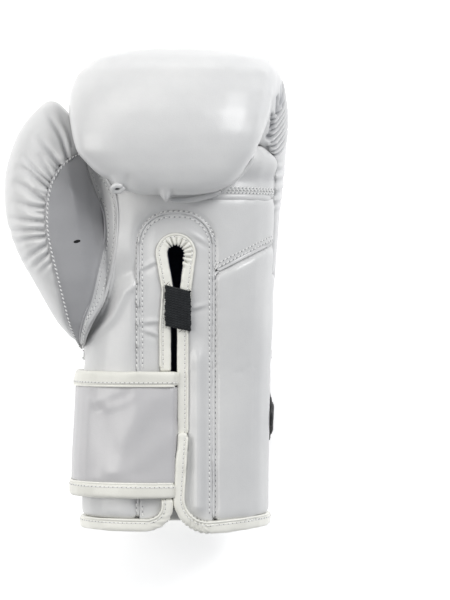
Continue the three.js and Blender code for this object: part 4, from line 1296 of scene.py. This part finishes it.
def sew(name, rows, pitch=3.2, slant=14.0, long=2.5, thick=0.42, hole=0.5, seed=1):
    """A row of slanted stitches on each laid line, and grey dots of painted shade for the needle holes
    between them.
    """
    chance = random.Random(seed)
    stitch = stitch_shape(long, thick)
    needle = hole_shape(hole)
    threads, holes = bmesh.new(), bmesh.new()
    for hits in rows:
        for place, way, normal in along_hits(hits, pitch * MM):
            side = normal.cross(way).normalized()
            way = side.cross(normal).normalized()
            turn = Matrix((way, side, normal)).transposed().to_4x4()
            tilt = Matrix.Rotation(math.radians(slant + chance.uniform(-4, 4)), 4, "Z")
            put(threads, stitch, Matrix.Translation(place + normal * 0.1 * MM) @ turn @ tilt)
            put(holes, needle, Matrix.Translation(place + way * pitch / 2 * MM - normal * 0.04 * MM) @ turn)
    trim(name, threads, THREAD)
    trim(name + "_hole_shade", holes, NEEDLE_HOLE_SHADE)


def put(work, shape, matrix):
    copy = shape.copy()
    copy.transform(matrix)
    work.from_mesh(copy)
    bpy.data.meshes.remove(copy)


def sew_glove(parts):
    sew_palm(over(parts, "palm", "facing", "bolster", "grip", "gusset"))
    sew_thumb(over(parts, "fold", "thumb", "panel", "gusset", "palm"))
    cuff_tape = over(parts, "cuff_binding")
    rows = [laid_from_above(slit_edge(TAPE_SEAM), over(parts, "slit_binding"))]
    rows.append(laid_from_above(finger_flap_edge(TAPE_SEAM), cuff_tape))
    rows.append(laid_from_above(widened(thumb_flap_edge(TAPE_SEAM)), cuff_tape))
    rows.append(laid_around(lambda turn: hem_y(turn, TAPE_SEAM), 150, 396, cuff_tape))
    sew("binding_stitches", rows, pitch=2.8, long=2.1, thick=0.33, hole=0.38, seed=13)

    strap_tape = tree_of(parts["strap_bindings"])
    rows = [laid_around(level(y), 88, 306, strap_tape) for y in STRAP_SEAMS_Y]
    sew("strap_stitches", rows, pitch=2.9, long=2.2, thick=0.36, hole=0.42, seed=14)

    rows = [laid_around(level(y), 150, 395, over(parts, "welt")) for y in WELT_SEAMS_Y]
    sew("welt_stitches", rows, seed=15)


def sew_palm(palm):
    rows = []
    for grow in (2.1, -1.5):
        line = arch_line(grow)
        x, y = line.T
        rows.append(laid_from_above(line[(x <= 0) & (y < -79) & (y > HEM_TAPE_Y)], palm))
        shown = (x > -ARCH_HALF - 3) & ((x > 0) | (y > 1.5)) & (y > HEM_TAPE_Y)
        rows.append(laid_from_above(line[shown], palm))
    sew("palm_stitches", rows, seed=11)

    rows = [laid_from_above(moved_aside(even(DIAGONAL_SEAM, 1), aside), palm) for aside in (0.9, 3.1)]
    sew("diagonal_stitches", rows, pitch=2.6, long=2.4, slant=24, seed=16)

    first, last = GRIP_SEAM_SHOWN
    outer, inner, middle = ([(first, GRIP_SEAM_Y + up), (last, GRIP_SEAM_Y + up)] for up in (2.4, 5.4, 3.9))
    rows = [laid_from_above(line, palm) for line in (outer, inner)]
    sew("grip_stitches", rows, pitch=2.5, long=2.9, slant=32, seed=17)
    rows = [laid_from_above(middle[::-1], palm)]
    sew("grip_cross_stitches", rows, pitch=2.5, long=2.9, slant=-32, seed=18)


def sew_thumb(thumb):
    seam, panel, edge = (curve_through(line, 1.0) for line in (THUMB_SEAM, PANEL_SEAM, PALM_SEAM))
    rows = [laid_from_above(moved_aside(seam, -FOLD_ASIDE), thumb)]
    sew("thumb_stitches", rows, pitch=2.7, long=2.2, slant=30, thick=0.44, seed=12)
    rows = [laid_from_above(moved_aside(panel, -2.2), thumb), laid_from_above(moved_aside(edge, 2.3), thumb)]
    sew("gusset_stitches", rows, pitch=2.8, long=2.3, slant=22, thick=0.36, hole=0.36,
        seed=19)


# Beads, welts and loose threads

def lay_cord(name, hits, wide, high, material, raise_by=0.0, taper=4, sides=8):
    """A cord along laid places, wide and high as half its section, drawn in at its ends."""
    work = bmesh.new()
    ring = bmesh.ops.create_circle(work, cap_ends=True, segments=sides, radius=MM)["verts"]
    rim = {edge for vert in ring for edge in vert.link_edges}
    before = Matrix.Identity(4)
    places = [place for place, _ in hits]
    last = len(hits) - 1
    for i, (place, normal) in enumerate(hits):
        way = (places[min(i + 1, last)] - places[max(i - 1, 0)]).normalized()
        side = normal.cross(way).normalized()
        up = way.cross(side)
        small = min(1.0, 0.35 + min(i, last - i) / taper)
        turn = Matrix((side * wide * small, up * high * small, way)).transposed().to_4x4()
        here = Matrix.Translation(place + normal * raise_by * MM) @ turn
        if i:
            made = bmesh.ops.extrude_edge_only(work, edges=list(rim))["geom"]
            ring = [part for part in made if isinstance(part, bmesh.types.BMVert)]
            rim = {part for part in made if isinstance(part, bmesh.types.BMEdge)}
        bmesh.ops.transform(work, matrix=here @ before.inverted(), verts=ring)
        before = here
    bmesh.ops.holes_fill(work, edges=work.edges)
    bmesh.ops.recalc_face_normals(work, faces=work.faces)
    return trim(name, work, material)


def smoothed_hits(hits, reach=4):
    """The same places with their heights and normals evened out along the line."""
    if len(hits) < 2 * reach + 2:
        return hits
    kernel = np.ones(2 * reach + 1) / (2 * reach + 1)
    made = []
    for table in (np.array([hit[k] for hit in hits]) for k in (0, 1)):
        padded = np.vstack([np.repeat(table[:1], reach, 0), table, np.repeat(table[-1:], reach, 0)])
        made.append(np.column_stack([np.convolve(padded[:, k], kernel, "valid") for k in range(3)]))
    return [(Vector(place), Vector(normal).normalized()) for place, normal in zip(*made)]


def seam_hits(line, tree, reach=1.4):
    """A seam laid between the pieces on its two sides, so that it doesn't drop into their gap."""
    line = even(line, 0.9)
    hits = []
    for one, other in zip(moved_aside(line, reach), moved_aside(line, -reach)):
        found = [drop(x, y, tree) for x, y in (one, other)]
        found = [(place, normal) for place, normal in found if place is not None and normal.z > STEEP]
        if not found:
            continue
        x, y = (one + other) / 2
        height = sum(place.z for place, _ in found) / len(found)
        normal = sum((normal for _, normal in found), Vector()).normalized()
        spot = in_frame(x, y, 0)
        hits.append((Vector((spot.x, spot.y, height)), normal))
    return smoothed_hits(hits)


def lay_beads(parts):
    palm = over(parts, "palm", "facing", "bolster", "grip")
    arch = arch_line()
    x, y = arch.T
    for name, line, sunk in (
        ("arch_strip", arch[y > -4], -0.5),
        ("arch_strip_low", arch[(x > 0) & (y < 4) & (y > HEM_TAPE_Y)], -0.5),
        ("arch_strip_flap", arch[(x < 0) & (y < -78) & (y > HEM_TAPE_Y)], -0.5),
        ("diagonal_strip", DIAGONAL_SEAM, -0.25),
        ("grip_strip", [(17.0, GRIP_SEAM_Y), (59.5, GRIP_SEAM_Y)], -0.25),
    ):
        lay_cord(name, seam_hits(line, palm, 2.2), 1.8, 0.5, WHITE_LEATHER, sunk)

    leather_round = over(parts, "thumb", "panel", "gusset", "palm", "grip")
    seam, panel, edge = (curve_through(line, 1.0) for line in (THUMB_SEAM, PANEL_SEAM, PALM_SEAM))
    fold = seam_hits(moved_aside(seam, -FOLD_ASIDE), leather_round)
    parts["fold"] = lay_cord("thumb_seam_fold", fold, 1.5, 0.8, SHADED_LEATHER, 0.2, taper=30)
    lay_cord("thumb_panel_piping", seam_hits(panel, leather_round), 0.75, 0.7, SHADED_LEATHER)
    lay_cord("palm_side_piping", seam_hits(edge, leather_round), 1.1, 0.8, WHITE_LEATHER, 0.15)

    for name, line, tape in (
        ("slit_tape_bead", slit_edge(TAPE_EDGE), "slit_binding"),
        ("finger_flap_bead", finger_flap_edge(TAPE_EDGE), "cuff_binding"),
        ("thumb_flap_bead", widened(thumb_flap_edge(TAPE_EDGE)), "cuff_binding"),
    ):
        hits = smoothed_hits(laid_from_above(line, over(parts, tape)), 2)
        lay_cord(name, hits, 0.75, 0.85, BINDING, 0.2)
    strap_tape = tree_of(parts["strap_bindings"])
    for name, y in (("strap_top_bead", -8.5), ("strap_bottom_bead", -68.5)):
        hits = smoothed_hits(laid_around(level(y), 91, 306, strap_tape), 2)
        lay_cord(name, hits, 0.75, 0.8, BINDING, 0.15)


KNOT = (-34.0, 110.6)  # the folded loop at the roll's corner
ROLL_EDGES = (  # name, places, height, half width and half height
    ("roll_welt", [(-3.6, 104.9), (-0.5, 104.5), (4.8, 104.3), (9.9, 104.7), (16.0, 105.9), (21.6, 107.4),
                   (27.5, 109.6)], 93.5, 1.8, 1.0),
    ("roll_fold", [(27.6, 108.6), (30.3, 110.8), (33.9, 113.9), (38.0, 117.8), (41.8, 121.9), (45.0, 126.0),
                   (47.6, 130.6)], 92.5, 1.1, 0.9),
)


def leaning(x, y, z, lean):
    """A place, and the way up there, which leans towards the wrist."""
    return in_frame(x, y, z), Vector((0, -lean, 1)).normalized()


def lay_roll_welt(parts):
    """The narrow folded edge that shows below the finger roll, and the loop at its corner with a dark cord of
    painted shade in its hole.
    """
    for name, line, height, wide, high in ROLL_EDGES:
        places = [leaning(x, y, height, 0.25) for x, y in curve_through(line, 0.9)]
        lay_cord(name, places, wide, high, WHITE_LEATHER, taper=5)
    top, _ = drop(KNOT[0], KNOT[1] + 2.6, over(parts, "mitt"))
    lip = top.z / MM - 0.8
    places = []
    for turn in np.linspace(0.4, 6.9, 30):
        x, y = 2.9 * math.cos(turn), 1.6 * math.sin(turn)
        places.append(leaning(KNOT[0] + x, KNOT[1] + y, lip + 1.1 * (y - 1.2), 0.6))
    lay_cord("roll_knot", places, 1.6, 1.4, WHITE_LEATHER, taper=3, sides=12)
    # A dark cord of painted shade inside the loop's hole.
    places = [leaning(KNOT[0] + x, KNOT[1] + 0.25 * x, lip - 1.0, 0.6) for x in np.linspace(-1.7, 1.9, 7)]
    lay_cord("knot_hole_shade", places, 0.85, 0.4, HOLE_SHADE, taper=3, sides=10)


LOOSE_ENDS = ((-6.3, 52.6), (-3.0, 52.0), (8.9, 48.6), (8.6, 25.6), (4.0, 26.2), (-5.8, 29.0))
ELASTIC_Y = 40.0  # across the middle of the elastic


def fray_elastic(parts):
    """Loose thread ends at the elastic's cut corners."""
    tree = over(parts, "elastic")
    chance = random.Random(23)
    for number, (x, y) in enumerate(LOOSE_ENDS):
        place, normal = drop(x, y, tree)
        if place is None:
            continue
        way = Vector((chance.uniform(-0.7, 0.7), 1 if y > ELASTIC_Y else -1, 0.15)).normalized()
        curl = Vector((chance.uniform(-1, 1), chance.uniform(-0.4, 0.4), 0.1))
        hits = [(place + (way * t * 2.6 + curl * t * t * 1.3) * MM, normal) for t in np.linspace(-0.3, 1, 7)]
        lay_cord("loose_thread_%d" % number, hits, 0.16, 0.16, ELASTIC_WEAVE, taper=3, sides=5)


# Small things

VENT_AT = (-59.9, 79.6)
VENT_TURN = 2.05  # radians
VENT_STRETCH = (1.5, 0.66, 1.0, 1.0)


def place_vent(parts):
    """Punched vent in the thumb's panel: a near-black oval of painted shade inside the hole, with a turned-in
    edge.
    """
    work = bmesh.new()
    low, high, deep = 1.25 * MM, 1.5 * MM, 1.2 * MM
    bmesh.ops.create_cone(work, cap_ends=True, segments=20, radius1=low, radius2=high, depth=deep)
    sharp = [edge for edge in work.edges if edge.is_manifold and edge.calc_face_angle() > 0.5]
    bmesh.ops.bevel(work, geom=sharp, offset=0.25 * MM, segments=3, profile=0.5, affect="EDGES", material=-1)
    place, normal = drop(*VENT_AT, over(parts, "panel"))
    mesh = mesh_from("thumb_vent", work)
    turn = normal.to_track_quat("Z", "Y").to_matrix().to_4x4() @ Matrix.Rotation(VENT_TURN, 4, "Z")
    mesh.transform(Matrix.Translation(place - normal * 0.45 * MM) @ turn @ Matrix.Diagonal(VENT_STRETCH))
    piece = new_piece("thumb_vent", mesh)
    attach(piece, "root")
    finish_with(piece, HOLE_SHADE)


def main():
    place_camera()
    light_studio()
    lay_floor()
    parts = {
        "mitt": dress_mitt(),
        "thumb": dress_thumb(),
        "panel": dress_thumb_panel(),
        "gusset": dress_gusset(),
        "palm": dress_palm(),
        "grip": dress_grip(),
        "bolster": dress_bolster(),
        "facing": dress_facing(),
        "back_pad": dress_back_pad(),
        "welt": dress_welt(),
        "slit_binding": dress_slit_binding(),
        "cuff_binding": dress_cuff_binding(),
        "strap_bindings": dress_strap_bindings(),
        "strap": dress_strap(),
        "patch": dress_patch(),
        "loop": dress_loop_panel(),
        "elastic": dress_elastic(),
        "lining": dress_lining(),
    }
    lay_beads(parts)
    sew_glove(parts)
    lay_roll_welt(parts)
    fray_elastic(parts)
    place_vent(parts)


main()
